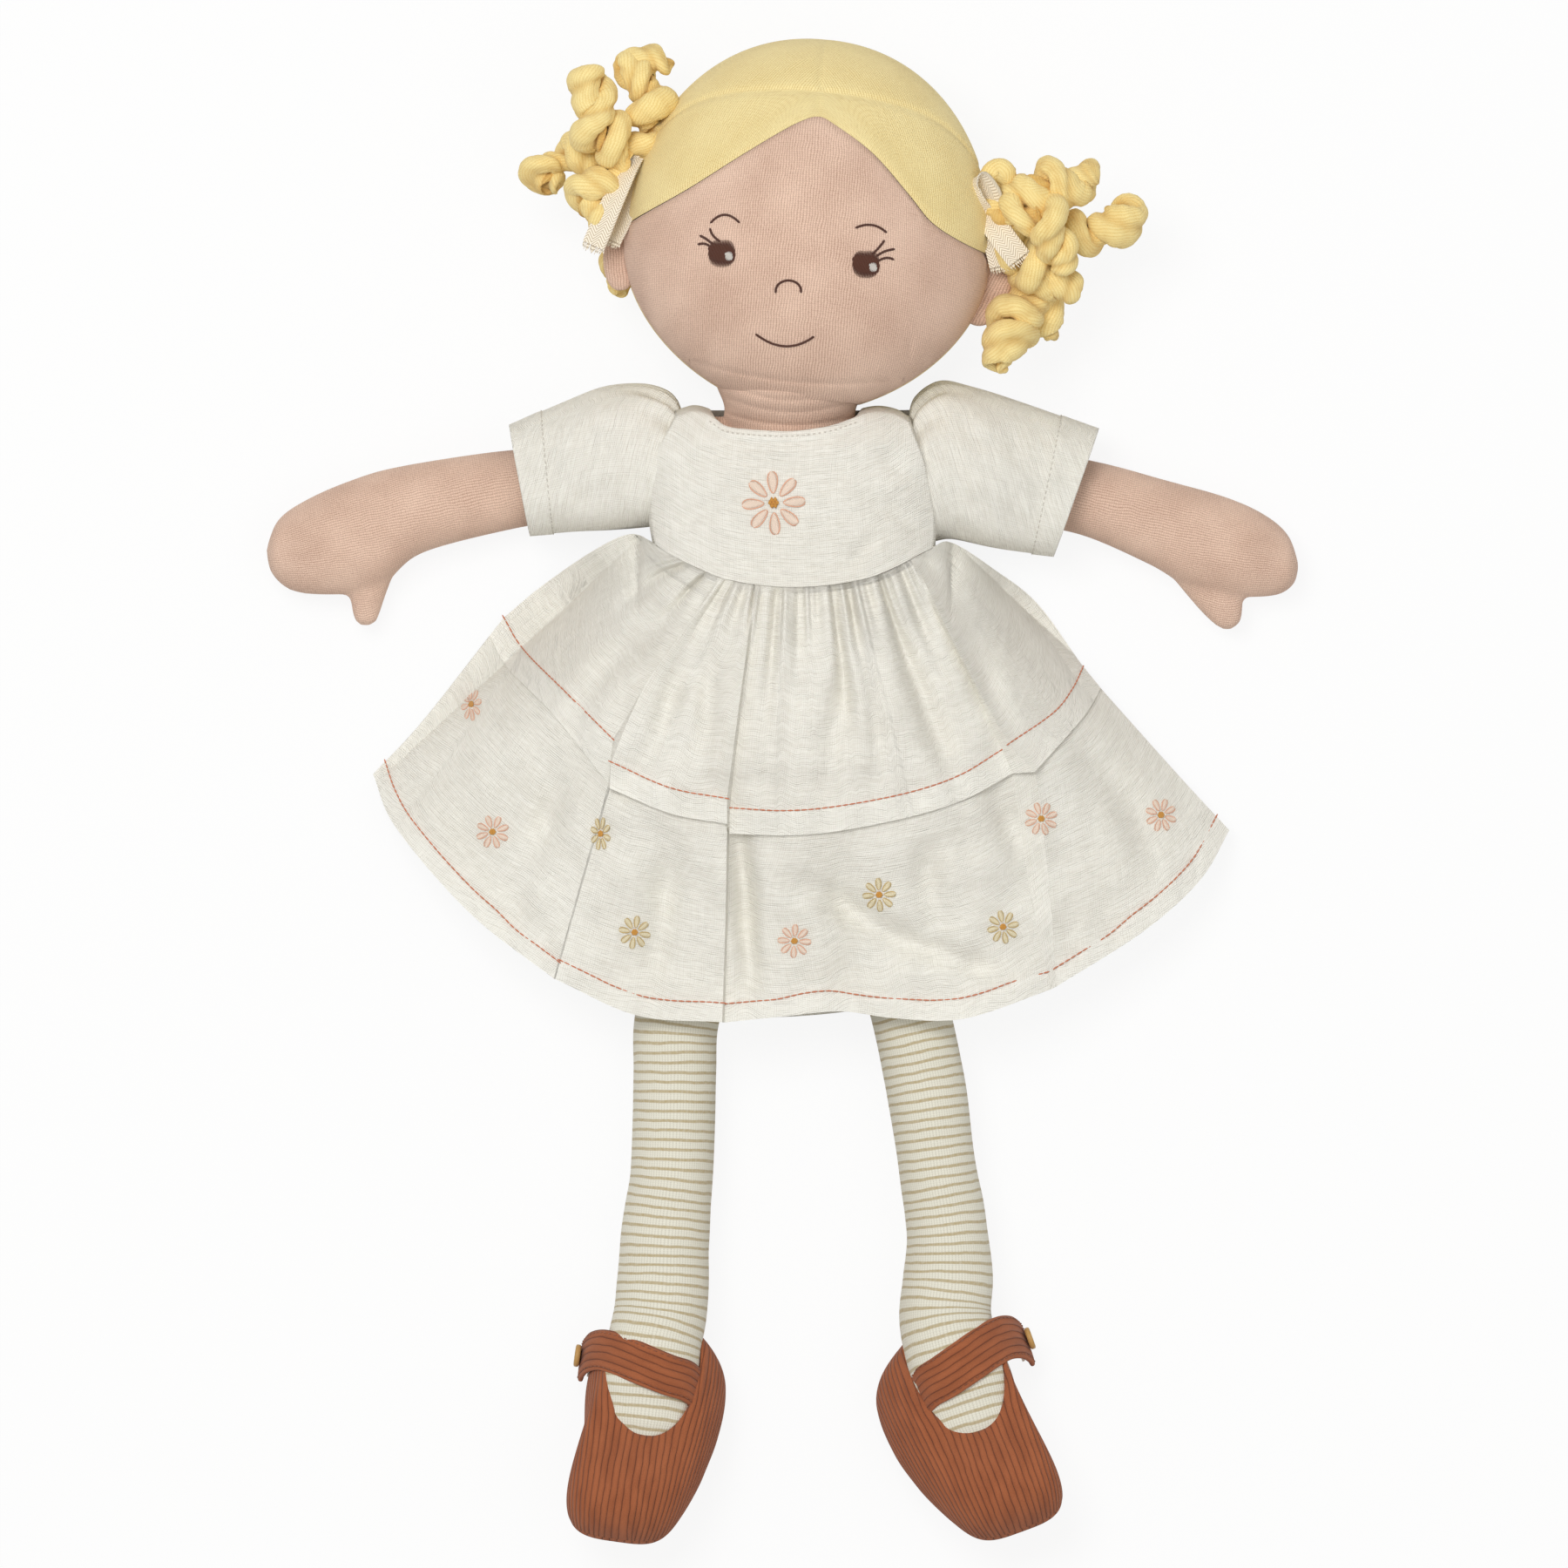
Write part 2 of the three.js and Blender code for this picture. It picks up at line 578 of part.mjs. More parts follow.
console.log(`Least gap of a curl to itself: ${curlGap.toFixed(2)} mm`);

// Neck and torso: the hip seam is at y = 0

const torsoMiddle = TORSO_BACK + TORSO_DEPTH / 2;
const neckBase = TORSO_LENGTH - NECK_LENGTH;

function neckForm(grow, low, high, lean = 0) {
  return skin([[low, 0], [high, lean]].map(([y, tilt]) => ringAt({
    middle: vec(0, y, torsoMiddle),
    towards: vec(Math.sin(tilt), Math.cos(tilt), 0),
    width: NECK_WIDTH / 2 + grow,
    depth: NECK_DEPTH / 2 + grow,
    sides: 22,
  })));
}

// The stuffed trunk, or with an ease the dress bodice round it
function trunkForm(ease, floor) {
  const length = TORSO_LENGTH + ease;
  const places = [0, 0.05, 0.12, 0.2, 0.35, 0.6, 0.8, 0.87, 0.93, 0.97, 1];
  const rings = places.map((t) => {
    const fromTop = (1 - t) * length;
    const shoulder = Math.sqrt(1 - (1 - Math.min(1, (fromTop + 1.2) / 20)) ** 2);
    const seam = lerp(0.1, 1, smooth(t * length, 0, SEAM_WEDGE));
    return ringAt({
      middle: vec(0, t * length, torsoMiddle),
      towards: vec(0, 1, 0),
      width: (TORSO_WIDTH / 2) * lerp(0.72, 1, shoulder) + ease,
      depth: (TORSO_DEPTH / 2 + STITCHED_EDGE) * shoulder * seam + ease,
      power: 2.6,
      sides: 26,
      floor,
    });
  });
  return skin(rings);
}

add("neck", neckForm(0, neckBase, chinY - GAP, radians(HEAD_LEAN)), SKIN);
add("torso", cut(trunkForm(0, TORSO_BACK), neckForm(GAP, neckBase - GAP, FAR)), SKIN);

// Dress bodice: a front panel and two back panels, open at the neck, armholes and waist

const waistDisc = (radius) => new THREE.CylinderGeometry(radius, radius, FAR, 72)
  .rotateX(Math.PI / 2).translate(0, TORSO_LENGTH + SKIRT_APEX, 0);
const bodiceShell = cut(trunkForm(BODICE_EASE + LINEN, 0), trunkForm(BODICE_EASE, LINEN));
const neckHole = neckForm(GAP + NECK_EASE, neckBase - GAP, FAR);
const scoop = skin([-FAR, FAR].map((z) => {
  const ring = [];
  for (let i = 0; i < 24; i++) {
    const angle = (i / 24) * 2 * Math.PI;
    const x = (NECK_WIDTH / 2 + NECK_EASE + GAP) * Math.cos(angle);
    ring.push(vec(x, TORSO_LENGTH + (NECKLINE_DROP + GAP) * Math.sin(angle), z < 0 ? torsoMiddle : FAR));
  }
  return ring;
}));
const bodice = cut(keep(bodiceShell, waistDisc(WAIST_RADIUS - GAP)), neckHole, scoop);
add("bodice_front", keep(bodice, slab(-FAR, FAR, torsoMiddle + GAP / 2, FAR)), CLOTH);
add("bodice_back_left", keep(bodice, slab(GAP / 2, FAR, -FAR, torsoMiddle - GAP / 2)), CLOTH);
add("bodice_back_right", keep(bodice, slab(-FAR, -GAP / 2, -FAR, torsoMiddle - GAP / 2)), CLOTH);
add("back_closure", new THREE.BoxGeometry(CLOSURE_WIDTH, CLOSURE_LENGTH, TORSO_BACK - LINEN - 2 * GAP)
  .translate(0, CLOSURE_MIDDLE, (TORSO_BACK + LINEN) / 2), CLOTH);

// Sleeves: full at the shoulder, gathered to a cuff band

function sleeveForm(inset, start, end, steps) {
  const rings = [];
  for (let i = 0; i <= steps; i++) {
    const x = lerp(start, end, i / steps);
    const t = THREE.MathUtils.clamp(x / SLEEVE_LENGTH, 0, 1);
    const height = along([[0, SLEEVE_ROOT], [0.35, SLEEVE_PUFF], [1, SLEEVE_CUFF]], t) / 2;
    const depth = along([[0, 0.94], [0.35, 1], [1, 0.88]], t) * SLEEVE_DEPTH / 2;
    rings.push(ringAt({
      middle: vec(x, 0, depth),
      towards: vec(1, 0, 0),
      width: height - inset,
      depth: depth + STITCHED_EDGE - inset,
      power: 2.3,
      sides: 18,
      floor: Math.max(inset, 0),
    }));
  }
  return skin(rings);
}

// Arms: thin at the shoulder seam, full to the mitten hand, with a thumb

function armForm(length) {
  const middle = ARM_DEPTH / 2 + LINEN + GAP;
  const palm = HAND_DEPTH / 2;
  const arm = limb({
    route: [
      vec(0, 0, middle),
      vec(length * 0.5, ARM_BOW, middle),
      vec(length * 0.8, ARM_BOW * 0.2, palm),
      vec(length, -ARM_BOW * 0.8, palm),
    ],
    widths: [
      [0, ARM_WIDTH * 0.34],
      [0.06, ARM_WIDTH * 0.46],
      [0.35, ARM_WIDTH * 0.47],
      [0.62, ARM_WIDTH * 0.53],
      [0.8, HAND_WIDTH / 2],
      [0.92, HAND_WIDTH * 0.43],
      [0.98, HAND_WIDTH * 0.28],
      [1, HAND_WIDTH * 0.08],
    ],
    depths: [
      [0, LIMB_SEAM],
      [0.22, ARM_DEPTH / 2],
      [0.65, ARM_DEPTH / 2],
      [0.8, palm + STITCHED_EDGE],
      [0.93, HAND_DEPTH * 0.42],
      [0.985, HAND_DEPTH * 0.22],
      [1, HAND_DEPTH * 0.06],
    ],
    steps: LIMB_RINGS,
    sides: LIMB_SIDES,
    floor: 0,
  });
  const thumbAt = length * THUMB_PLACE;
  const thumbRoot = -HAND_WIDTH / 2;
  const thumb = limb({
    route: [
      vec(thumbAt + 2, thumbRoot / 2, palm),
      vec(thumbAt - 2, thumbRoot - THUMB_LENGTH * 0.35, palm),
      vec(thumbAt - 3, thumbRoot - THUMB_LENGTH * 0.75, palm),
    ],
    widths: [[0, 0.75], [0.6, 0.5], [0.9, 0.4], [1, 0.12]].map(([t, share]) => [t, share * THUMB_WIDTH]),
    depths: [[0, 0.9], [0.6, 0.55], [0.9, 0.4], [1, 0.12]].map(([t, share]) => [t, share * THUMB_WIDTH]),
    steps: 6,
    sides: 10,
  });
  return join(arm, thumb);
}

const bodiceGrown = trunkForm(BODICE_EASE + LINEN + GAP, -1);
const shoulderX = TORSO_WIDTH / 2 + BODICE_EASE + LINEN;
for (const [side, sign, drop, reach] of [
  ["left", 1, LEFT_ARM_DROP, LEFT_ARM_LENGTH],
  ["right", -1, RIGHT_ARM_DROP, RIGHT_ARM_LENGTH],
]) {
  const hang = (geometry, angle, x, y) => {
    const placed = geometry.clone().rotateZ(-radians(angle)).translate(x, y, 0);
    return sign > 0 ? placed : mirror(placed);
  };
  const sleeveY = ARM_HEIGHT + SLEEVE_OVER_ARM;
  const bandStart = SLEEVE_LENGTH - CUFF_BAND;
  const sleeve = cut(sleeveForm(0, -6, bandStart - GAP, 7), sleeveForm(LINEN, -7, bandStart + 1, 7));
  add(`sleeve_${side}`, cut(hang(sleeve, drop * 0.7, shoulderX, sleeveY), bodiceGrown), CLOTH);
  const cuffHole = sleeveForm(LINEN, bandStart - 1, SLEEVE_LENGTH + 1, 1);
  const cuff = cut(sleeveForm(-CUFF_FOLD, bandStart, SLEEVE_LENGTH, 1), cuffHole);
  add(`cuff_${side}`, hang(cuff, drop * 0.7, shoulderX, sleeveY), CLOTH);
  add(`arm_${side}`, hang(armForm(reach), drop, shoulderX + GAP, ARM_HEIGHT), SKIN);
}

// Skirt: front and back panels of two tiers, joined by a stitched tuck

const apexY = TORSO_LENGTH + SKIRT_APEX;
const shortening = (turn) => SKIRT_SHORT_SIDE * smooth(-turn, 0, 1);
const skirtPoint = (turn, radius, z) => {
  const angle = radians(SKIRT_SPREAD) * turn;
  return vec(radius * Math.sin(angle), apexY - radius * Math.cos(angle), z);
};
const sideHeight = (radius) => torsoMiddle * (1 - smooth(radius, WAIST_RADIUS, WAIST_RADIUS * 1.7));

// Height of the front cloth: over the body in the middle, down to the side seams, with its folds
function frontHeight(turn, radius) {
  const reach = (radius - WAIST_RADIUS) / (HEM_RADIUS - WAIST_RADIUS);
  const crest = (1 - Math.abs(turn) ** 2.6) ** 0.42;
  const low = sideHeight(radius) + 3 * LINEN + 2 * GAP;
  const high = lerp(WAIST_HEIGHT, HEM_HEIGHT, smooth(reach, 0.3, 1));
  const fade = 1 - Math.abs(turn) ** 4;
  const wave = (count) => (1 + Math.cos(turn * Math.PI * count)) / 2;
  const folds = FOLD_RISE * smooth(reach, 0.1, 0.8) * wave(FOLDS);
  const gathers = GATHER_RISE * (1 - smooth(reach, 0.02, 0.35)) * wave(GATHERS);
  return lerp(low, high, crest) + (folds + gathers) * fade;
}

function backHeight(turn, radius) {
  return LINEN + sideHeight(radius) * Math.abs(turn) ** 7;
}

// One panel of cloth between two radii, `drop` under the given height
function panel({ rows, columns, start, end, height, drop = 0, hemmed = false }) {
  const grid = [];
  for (let r = 0; r <= rows; r++) {
    const line = [];
    const full = lerp(start, end, r / rows);
    const share = (full - WAIST_RADIUS) / (HEM_RADIUS - WAIST_RADIUS);
    const fold = hemmed && full > end - HEM_FOLD ? HEM_THICKNESS : 0;
    for (let c = 0; c <= columns; c++) {
      const turn = (2 * c) / columns - 1;
      const radius = full - share * shortening(turn);
      line.push(skirtPoint(turn, radius, height(turn, full) - drop + fold));
    }
    grid.push(line);
  }
  return sheet(grid, LINEN);
}

add("skirt_upper_front", panel({
  rows: 7, columns: 34, start: WAIST_RADIUS, end: TUCK_RADIUS, height: frontHeight,
}), CLOTH);
add("skirt_lower_front", panel({
  rows: 5, columns: 30, start: TUCK_RADIUS - TUCK_OVERLAP, end: HEM_RADIUS, height: frontHeight,
  drop: LINEN + GAP, hemmed: true,
}), CLOTH);
add("skirt_upper_back", panel({
  rows: 4, columns: 20, start: WAIST_RADIUS, end: TUCK_RADIUS - GAP, height: backHeight,
}), CLOTH);
add("skirt_lower_back", panel({
  rows: 3, columns: 20, start: TUCK_RADIUS, end: HEM_RADIUS, height: backHeight,
}), CLOTH);

// Shoes, in their own frame: heel at the origin, toe along +X, sole down

// Roundness of the heel and of the toe, and the width between them, at a share of the length
function lastAt(t, blunt) {
  const round = (share) => Math.sqrt(1 - (1 - Math.min(1, share + blunt)) ** 2);
  return {
    heelRound: round(t / HEEL_SHARE),
    toeRound: round((1 - t) / TOE_SHARE),
    wide: along([
      [0, SHOE_HEEL_WIDTH], [0.25, SHOE_HEEL_WIDTH], [0.62, SHOE_WIDTH], [1, SHOE_WIDTH * 0.9],
    ], t),
  };
}

// The shoe's outside, or with an inset the space for the foot
function shoeForm(inset, bottom) {
  const rings = [];
  const heights = [
    [0, SHOE_HEIGHT], [0.45, SHOE_HEIGHT], [0.85, SHOE_TOE_HEIGHT], [1, SHOE_TOE_HEIGHT * 0.8],
  ];
  for (let i = 0; i <= SHOE_RINGS; i++) {
    const t = (1 - Math.cos((i / SHOE_RINGS) * Math.PI)) / 2;
    const x = lerp(inset, SHOE_LENGTH - inset, t);
    const { heelRound, toeRound, wide } = lastAt(t, 0.02);
    const half = Math.max((wide / 2) * heelRound * toeRound - inset, 1);
    const rise = lerp(toeRound, 1, 0.35) * lerp(heelRound, 1, 0.6);
    const high = Math.max((along(heights, t) - bottom - inset) / 2 * rise, 1);
    rings.push(ringAt({
      middle: vec(x, 0, bottom + high),
      towards: vec(1, 0, 0),
      width: half,
      depth: high,
      power: 2.7,
      sides: 18,
    }));
  }
  return skin(rings);
}

function soleForm() {
  const edge = [];
  for (let i = 0; i <= SOLE_STEPS; i++) {
    const t = (1 - Math.cos((i / SOLE_STEPS) * Math.PI)) / 2;
    const { heelRound, toeRound, wide } = lastAt(t, 0.03);
    edge.push([t * SHOE_LENGTH, (wide / 2 - SOLE_INSET) * heelRound * toeRound]);
  }
  const outline = [...edge, ...edge.toReversed().map(([x, y]) => [x, -y])];
  return prism(outline, 0, SOLE_THICKNESS - GAP);
}

const pitch = radians(SHOE_PITCH);
for (const [side, sign, ankleSpread, toeOut] of [
  ["left", 1, LEFT_ANKLE_SPREAD, LEFT_TOE_OUT],
  ["right", -1, RIGHT_ANKLE_SPREAD, RIGHT_TOE_OUT],
]) {
  // Frame of the shoe: toe direction, across, and up from the sole
  const swing = radians(toeOut) * sign;
  const plan = vec(Math.sin(swing), -Math.cos(swing), 0);
  const toe = plan.clone().multiplyScalar(Math.cos(pitch)).addScaledVector(UP, Math.sin(pitch));
  const across = vec(0, 0, 0).crossVectors(UP, plan).normalize();
  const upward = vec(0, 0, 0).crossVectors(toe, across);
  const ankle = vec(sign * ankleSpread, -ANKLE_DOWN, ANKLE_RISE);
  const heel = ankle.clone().addScaledVector(toe, -ANKLE_PLACE).addScaledVector(upward, -ANKLE_OVER_SOLE);
  heel.z = 0;
  const frame = new THREE.Matrix4().makeBasis(toe, across, upward).setPosition(heel);
  const here = (geometry) => geometry.clone().applyMatrix4(frame);

  const legMiddle = LEG_WIDTH / 2 + LINEN + 3 * GAP;
  const legRoute = [
    vec(sign * HIP_SPREAD, -GAP, torsoMiddle),
    vec(sign * HIP_SPREAD, -LEG_STUB, torsoMiddle),
    vec(sign * lerp(HIP_SPREAD, KNEE_SPREAD, 0.45), -KNEE_DOWN * 0.4, legMiddle + 3),
    vec(sign * KNEE_SPREAD, -KNEE_DOWN, legMiddle + 2),
    vec(sign * lerp(KNEE_SPREAD, ankleSpread, 0.6), -ANKLE_DOWN * 0.7, legMiddle + 4),
    ankle,
    vec(SHOE_LENGTH * 0.3, 0, SHOE_HEIGHT * 0.55).applyMatrix4(frame),
  ];
  const grown = (list, grow) => list.map(([t, half]) => [t, half + grow]);
  const legTube = (grow) => limb({
    route: legRoute,
    widths: grown([
      [0, LEG_WIDTH * 0.12], [0.06, LEG_WIDTH * 0.43], [0.3, LEG_WIDTH / 2], [0.9, LEG_WIDTH / 2],
      [1, LEG_WIDTH * 0.4],
    ], grow),
    depths: grown([
      [0, LIMB_SEAM], [0.1, LEG_WIDTH * 0.42], [0.3, LEG_WIDTH / 2], [0.9, LEG_WIDTH / 2],
      [1, LEG_WIDTH * 0.36],
    ], grow),
    steps: LIMB_RINGS - 1,
    sides: LIMB_SIDES,
    floor: LINEN + GAP - grow,
  });
  const foot = shoeForm(CORDUROY + GAP, SOLE_THICKNESS + CORDUROY + GAP);
  add(`leg_${side}`, join(legTube(0), here(foot)), STRIPE);

  const throat = new THREE.CylinderGeometry(1, 1, FAR, 28)
    .rotateX(Math.PI / 2)
    .scale(THROAT_END / 2 + THROAT_BACK, THROAT_WIDTH / 2, 1)
    .translate(THROAT_END / 2 - THROAT_BACK, 0, (FAR + SHOE_HEIGHT) / 2);
  const upper = cut(shoeForm(0, SOLE_THICKNESS), shoeForm(CORDUROY, SOLE_THICKNESS + CORDUROY), throat);
  add(`shoe_upper_${side}`, cut(here(upper), legTube(GAP)), CORD);
  add(`shoe_sole_${side}`, here(soleForm()), CORD);

  // Strap: sewn inside, over the ankle, down to its closing pad and button outside
  const inner = SHOE_HEEL_WIDTH / 2 + STRAP_CLEAR + CORDUROY / 2;
  const padAt = SHOE_HEEL_WIDTH / 2 + GAP + STRAP_PAD / 2;
  const outer = padAt + STRAP_PAD / 2 + GAP + CORDUROY / 2;
  const points = [vec(STRAP_INNER, -sign * inner, STRAP_LOW - STRAP_SEWN)];
  for (let a = 0; a <= 180; a += 20) {
    const sideways = -(a < 90 ? inner : outer) * Math.cos(radians(a));
    const height = STRAP_LOW + STRAP_ARCH * Math.sin(radians(a));
    points.push(vec(lerp(STRAP_INNER, STRAP_OUTER, a / 180), sign * sideways, height));
  }
  points.push(vec(STRAP_OUTER, sign * outer, STRAP_LOW - STRAP_WIDTH));
  const strap = strip(points, () => vec(1, 0, 0), STRAP_WIDTH, CORDUROY, points.length * 2);
  add(`strap_${side}`, here(strap), CORD);
  const padMiddle = STRAP_LOW - STRAP_WIDTH / 2;
  add(`strap_pad_${side}`, here(new THREE.BoxGeometry(STRAP_WIDTH * 0.8, STRAP_PAD, STRAP_WIDTH * 0.7)
    .translate(STRAP_OUTER, sign * padAt, padMiddle)), CLOTH);
  const rim = [[0, 0], [0.8, 0], [1, 0.4], [1, 0.7], [0.85, 1], [0.65, 0.7], [0, 0.7]]
    .map(([r, y]) => new THREE.Vector2(r * BUTTON_RADIUS, y * BUTTON_THICKNESS));
  const button = new THREE.LatheGeometry(rim, 12)
    .rotateX(sign > 0 ? 0 : Math.PI)
    .translate(STRAP_OUTER, sign * (outer + CORDUROY / 2 + GAP), padMiddle + 1);
  add(`button_${side}`, here(button), BUTTON);
}

// The part's origin: middle of its plan, on the surface that it lies on
doll.updateMatrixWorld(true);
const extent = new THREE.Box3().setFromObject(doll, true);
doll.position.set(-(extent.min.x + extent.max.x) / 2, -(extent.min.y + extent.max.y) / 2, -extent.min.z);

export default doll;
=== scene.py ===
"""Soft rag doll: its stuffed jersey, linen dress, curls and corduroy shoes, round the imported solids.

Lengths in this file are millimetres, in the part's own frame, and become metres where a mesh is made.
"""
import math

import bpy
import numpy as np
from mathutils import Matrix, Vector
from mathutils.bvhtree import BVHTree


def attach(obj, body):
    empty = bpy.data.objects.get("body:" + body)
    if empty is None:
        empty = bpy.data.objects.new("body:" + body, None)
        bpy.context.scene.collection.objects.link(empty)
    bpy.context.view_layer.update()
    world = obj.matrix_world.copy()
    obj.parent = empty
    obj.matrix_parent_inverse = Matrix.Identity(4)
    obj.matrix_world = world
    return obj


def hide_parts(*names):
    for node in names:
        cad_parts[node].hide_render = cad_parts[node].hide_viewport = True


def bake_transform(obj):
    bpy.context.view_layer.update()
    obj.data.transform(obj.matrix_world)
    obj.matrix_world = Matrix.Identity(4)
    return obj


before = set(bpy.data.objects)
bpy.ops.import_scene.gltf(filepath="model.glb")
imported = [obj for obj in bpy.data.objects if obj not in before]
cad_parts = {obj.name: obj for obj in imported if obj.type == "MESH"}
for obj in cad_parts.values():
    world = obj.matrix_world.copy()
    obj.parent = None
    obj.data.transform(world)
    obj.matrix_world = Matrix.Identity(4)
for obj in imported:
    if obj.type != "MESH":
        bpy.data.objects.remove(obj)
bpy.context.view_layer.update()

MM = 0.001
scene = bpy.context.scene


# Shapes from points


def smooth_step(low, high, value):
    t = np.clip((np.asarray(value, float) - low) / (high - low), 0, 1)
    return t * t * (3 - 2 * t)


def hill(away, wide):
    """1 in the middle, falling softly to nothing beyond a width."""
    return np.exp(-((away / wide) ** 2))


def rounded(share):
    """Quarter circle: steep at 0, level at 1."""
    return np.sqrt(np.maximum(1 - (1 - np.minimum(1, share)) ** 2, 0))


def unit(vectors):
    return vectors / np.linalg.norm(vectors, axis=-1, keepdims=True)


def heading(line):
    """Direction of a line at each of its points."""
    return unit(np.gradient(line, axis=0))


def way_along(line):
    """Length of a line up to each of its points."""
    return np.concatenate([[0], np.cumsum(np.linalg.norm(np.diff(line, axis=0), axis=1))])


def angles_round(columns):
    """Angles round a closed section, from its underside."""
    return np.linspace(0, 2 * np.pi, columns + 1) - np.pi / 2


def smooth_line(points, count):
    """Points evenly spaced along a smooth line through the given ones."""
    p = np.asarray(points, float)
    if len(p) == 2:
        return p[0] + (p[1] - p[0]) * np.linspace(0, 1, count)[:, None]
    ends = np.vstack([2 * p[0] - p[1], p, 2 * p[-1] - p[-2]])
    t = np.linspace(0, 1, 24, endpoint=False)[:, None]
    run = []
    for a, b, c, d in zip(ends, ends[1:], ends[2:], ends[3:]):
        square = 2 * a - 5 * b + 4 * c - d
        cube = 3 * b - a - 3 * c + d
        run.append(0.5 * (2 * b + (c - a) * t + square * t**2 + cube * t**3))
    line = np.vstack(run + [p[-1:]])
    way = way_along(line)
    at = np.linspace(0, way[-1], count)
    return np.stack([np.interp(at, way, line[:, k]) for k in range(p.shape[1])], 1)


def profile(pairs, t):
    """Value at each t of a smooth curve through (t, value) pairs."""
    t = np.asarray(t, float)
    value = np.full(t.shape, float(pairs[0][1]))
    for (t0, v0), (t1, v1) in zip(pairs, pairs[1:]):
        value = np.where(t > t0, v0 + (v1 - v0) * smooth_step(t0, t1, t), value)
    return value


def bend(value, power):
    return np.sign(value) * np.abs(value) ** (2 / power)


def cloth_lengths(points, middle=0.5):
    """Length across and along the cloth at each point of a grid, from its middle column."""
    across = np.linalg.norm(np.diff(points, axis=1), axis=2)
    u = np.concatenate([np.zeros((len(points), 1)), np.cumsum(across, axis=1)], axis=1)
    u -= u[:, [int(middle * (points.shape[1] - 1))]]
    down = np.linalg.norm(np.diff(points, axis=0), axis=2)
    v = np.concatenate([np.zeros((1, points.shape[1])), np.cumsum(down, axis=0)], axis=0)
    return np.stack([u, v], 2)


def measured(grids):
    return [(grid, cloth_lengths(grid)) for grid in grids]


def close_ends(grid):
    """Draws the first and last rows of a tube together in one point each."""
    grid[0] = grid[0].mean(0)
    grid[-1] = grid[-1].mean(0)


def placed(name, data):
    """An object with this data, in the scene."""
    item = bpy.data.objects.new(name, data)
    scene.collection.objects.link(item)
    return item


def shade_smooth(mesh):
    mesh.polygons.foreach_set("use_smooth", [True] * len(mesh.polygons))


def from_grids(name, grids, material, body=None):
    """One mesh from grids of points, each with the cloth's lengths at its points."""
    corners, faces, uvs, first = [], [], [], 0
    for points, lengths in grids:
        rows, columns = points.shape[:2]
        index = first + np.arange(rows * columns).reshape(rows, columns)
        quads = np.stack([index[:-1, :-1], index[:-1, 1:], index[1:, 1:], index[1:, :-1]], -1)
        quads = quads.reshape(-1, 4)
        points = points.copy()
        points[..., 2] = np.maximum(points[..., 2], 0.05)
        corners.append(points.reshape(-1, 3) * MM)
        uvs.append(lengths.reshape(-1, 2)[quads - first].reshape(-1, 2))
        faces += quads.tolist()
        first += rows * columns
    mesh = bpy.data.meshes.new(name)
    mesh.from_pydata(np.vstack(corners).tolist(), [], faces)
    mesh.uv_layers.new(name="cloth").data.foreach_set("uv", np.vstack(uvs).ravel())
    shade_smooth(mesh)
    mesh.materials.append(material)
    piece = placed(name, mesh)
    if body:
        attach(piece, body)
    return piece


def mark(piece, name, values):
    """Gives every corner of a piece a value that its material reads."""
    layer = piece.data.attributes.new(name, "FLOAT", "POINT")
    layer.data.foreach_set("value", np.asarray(values, np.float32).ravel())


def from_grid(name, points, material, body=None, lengths=None):
    grids = measured([points]) if lengths is None else [(points, lengths)]
    return from_grids(name, grids, material, body)


def declare_sheet(grids):
    """Works out the flat size of a sheet of cloth from its longest row and column."""
    width = sum(np.linalg.norm(np.diff(g, axis=1), axis=2).sum(1).max() for g in grids) * MM
    length = max(np.linalg.norm(np.diff(g, axis=0), axis=2).sum(0).max() for g in grids) * MM


def carried(ahead, first):
    """A side direction at each point of a line, carried along it without twisting."""
    side = np.zeros_like(ahead)
    last = np.cross(ahead[0], first)
    for i, a in enumerate(ahead):
        last = last - a * last.dot(a)
        last /= np.linalg.norm(last)
        side[i] = last
    return side


def tube(middles, wide, deep, columns=40, power=2.2, level=True):
    """Grid round a line of middles, with half widths and half depths."""
    middles = np.asarray(middles, float)
    ahead = heading(middles)
    side = unit(np.cross(ahead, [0, 0, 1.0])) if level else carried(ahead, [0.3, 0.2, 1.0])
    over = np.cross(side, ahead)
    angle = angles_round(columns)
    wide = np.broadcast_to(wide, len(middles))[:, None, None]
    deep = np.broadcast_to(deep, len(middles))[:, None, None]
    across = side[:, None] * (wide * bend(np.cos(angle), power)[:, None])
    upwards = over[:, None] * (deep * bend(np.sin(angle), power)[:, None])
    return middles[:, None] + across + upwards


def threads(name, lines, radius, material, body):
    """Round threads along short lines, as one mesh."""
    grids = []
    for line in lines:
        line = np.asarray(line, float)
        swell = np.full(len(line), radius)
        swell[[0, -1]] = radius * 0.25
        grids.append(tube(line, swell, swell, columns=6, power=2, level=False))
    return from_grids(name, measured(grids), material, body)


def on_surface(pieces):
    """Function that lays points of the plan on the pieces, seen from above."""
    trees = []
    for piece in pieces:
        corners = [v.co.copy() for v in piece.data.vertices]
        trees.append(BVHTree.FromPolygons(corners, [p.vertices[:] for p in piece.data.polygons]))

    def lay(plan, lift):
        laid, last = [], 20.0
        for x, y in np.asarray(plan, float)[:, :2]:
            hits = [t.ray_cast(Vector((x * MM, y * MM, 0.2)), Vector((0, 0, -1)))[0] for t in trees]
            heights = [h.z / MM for h in hits if h is not None]
            last = max(heights) if heights else last
            laid.append((x, y, last + lift))
        return np.array(laid)

    return lay


# Materials


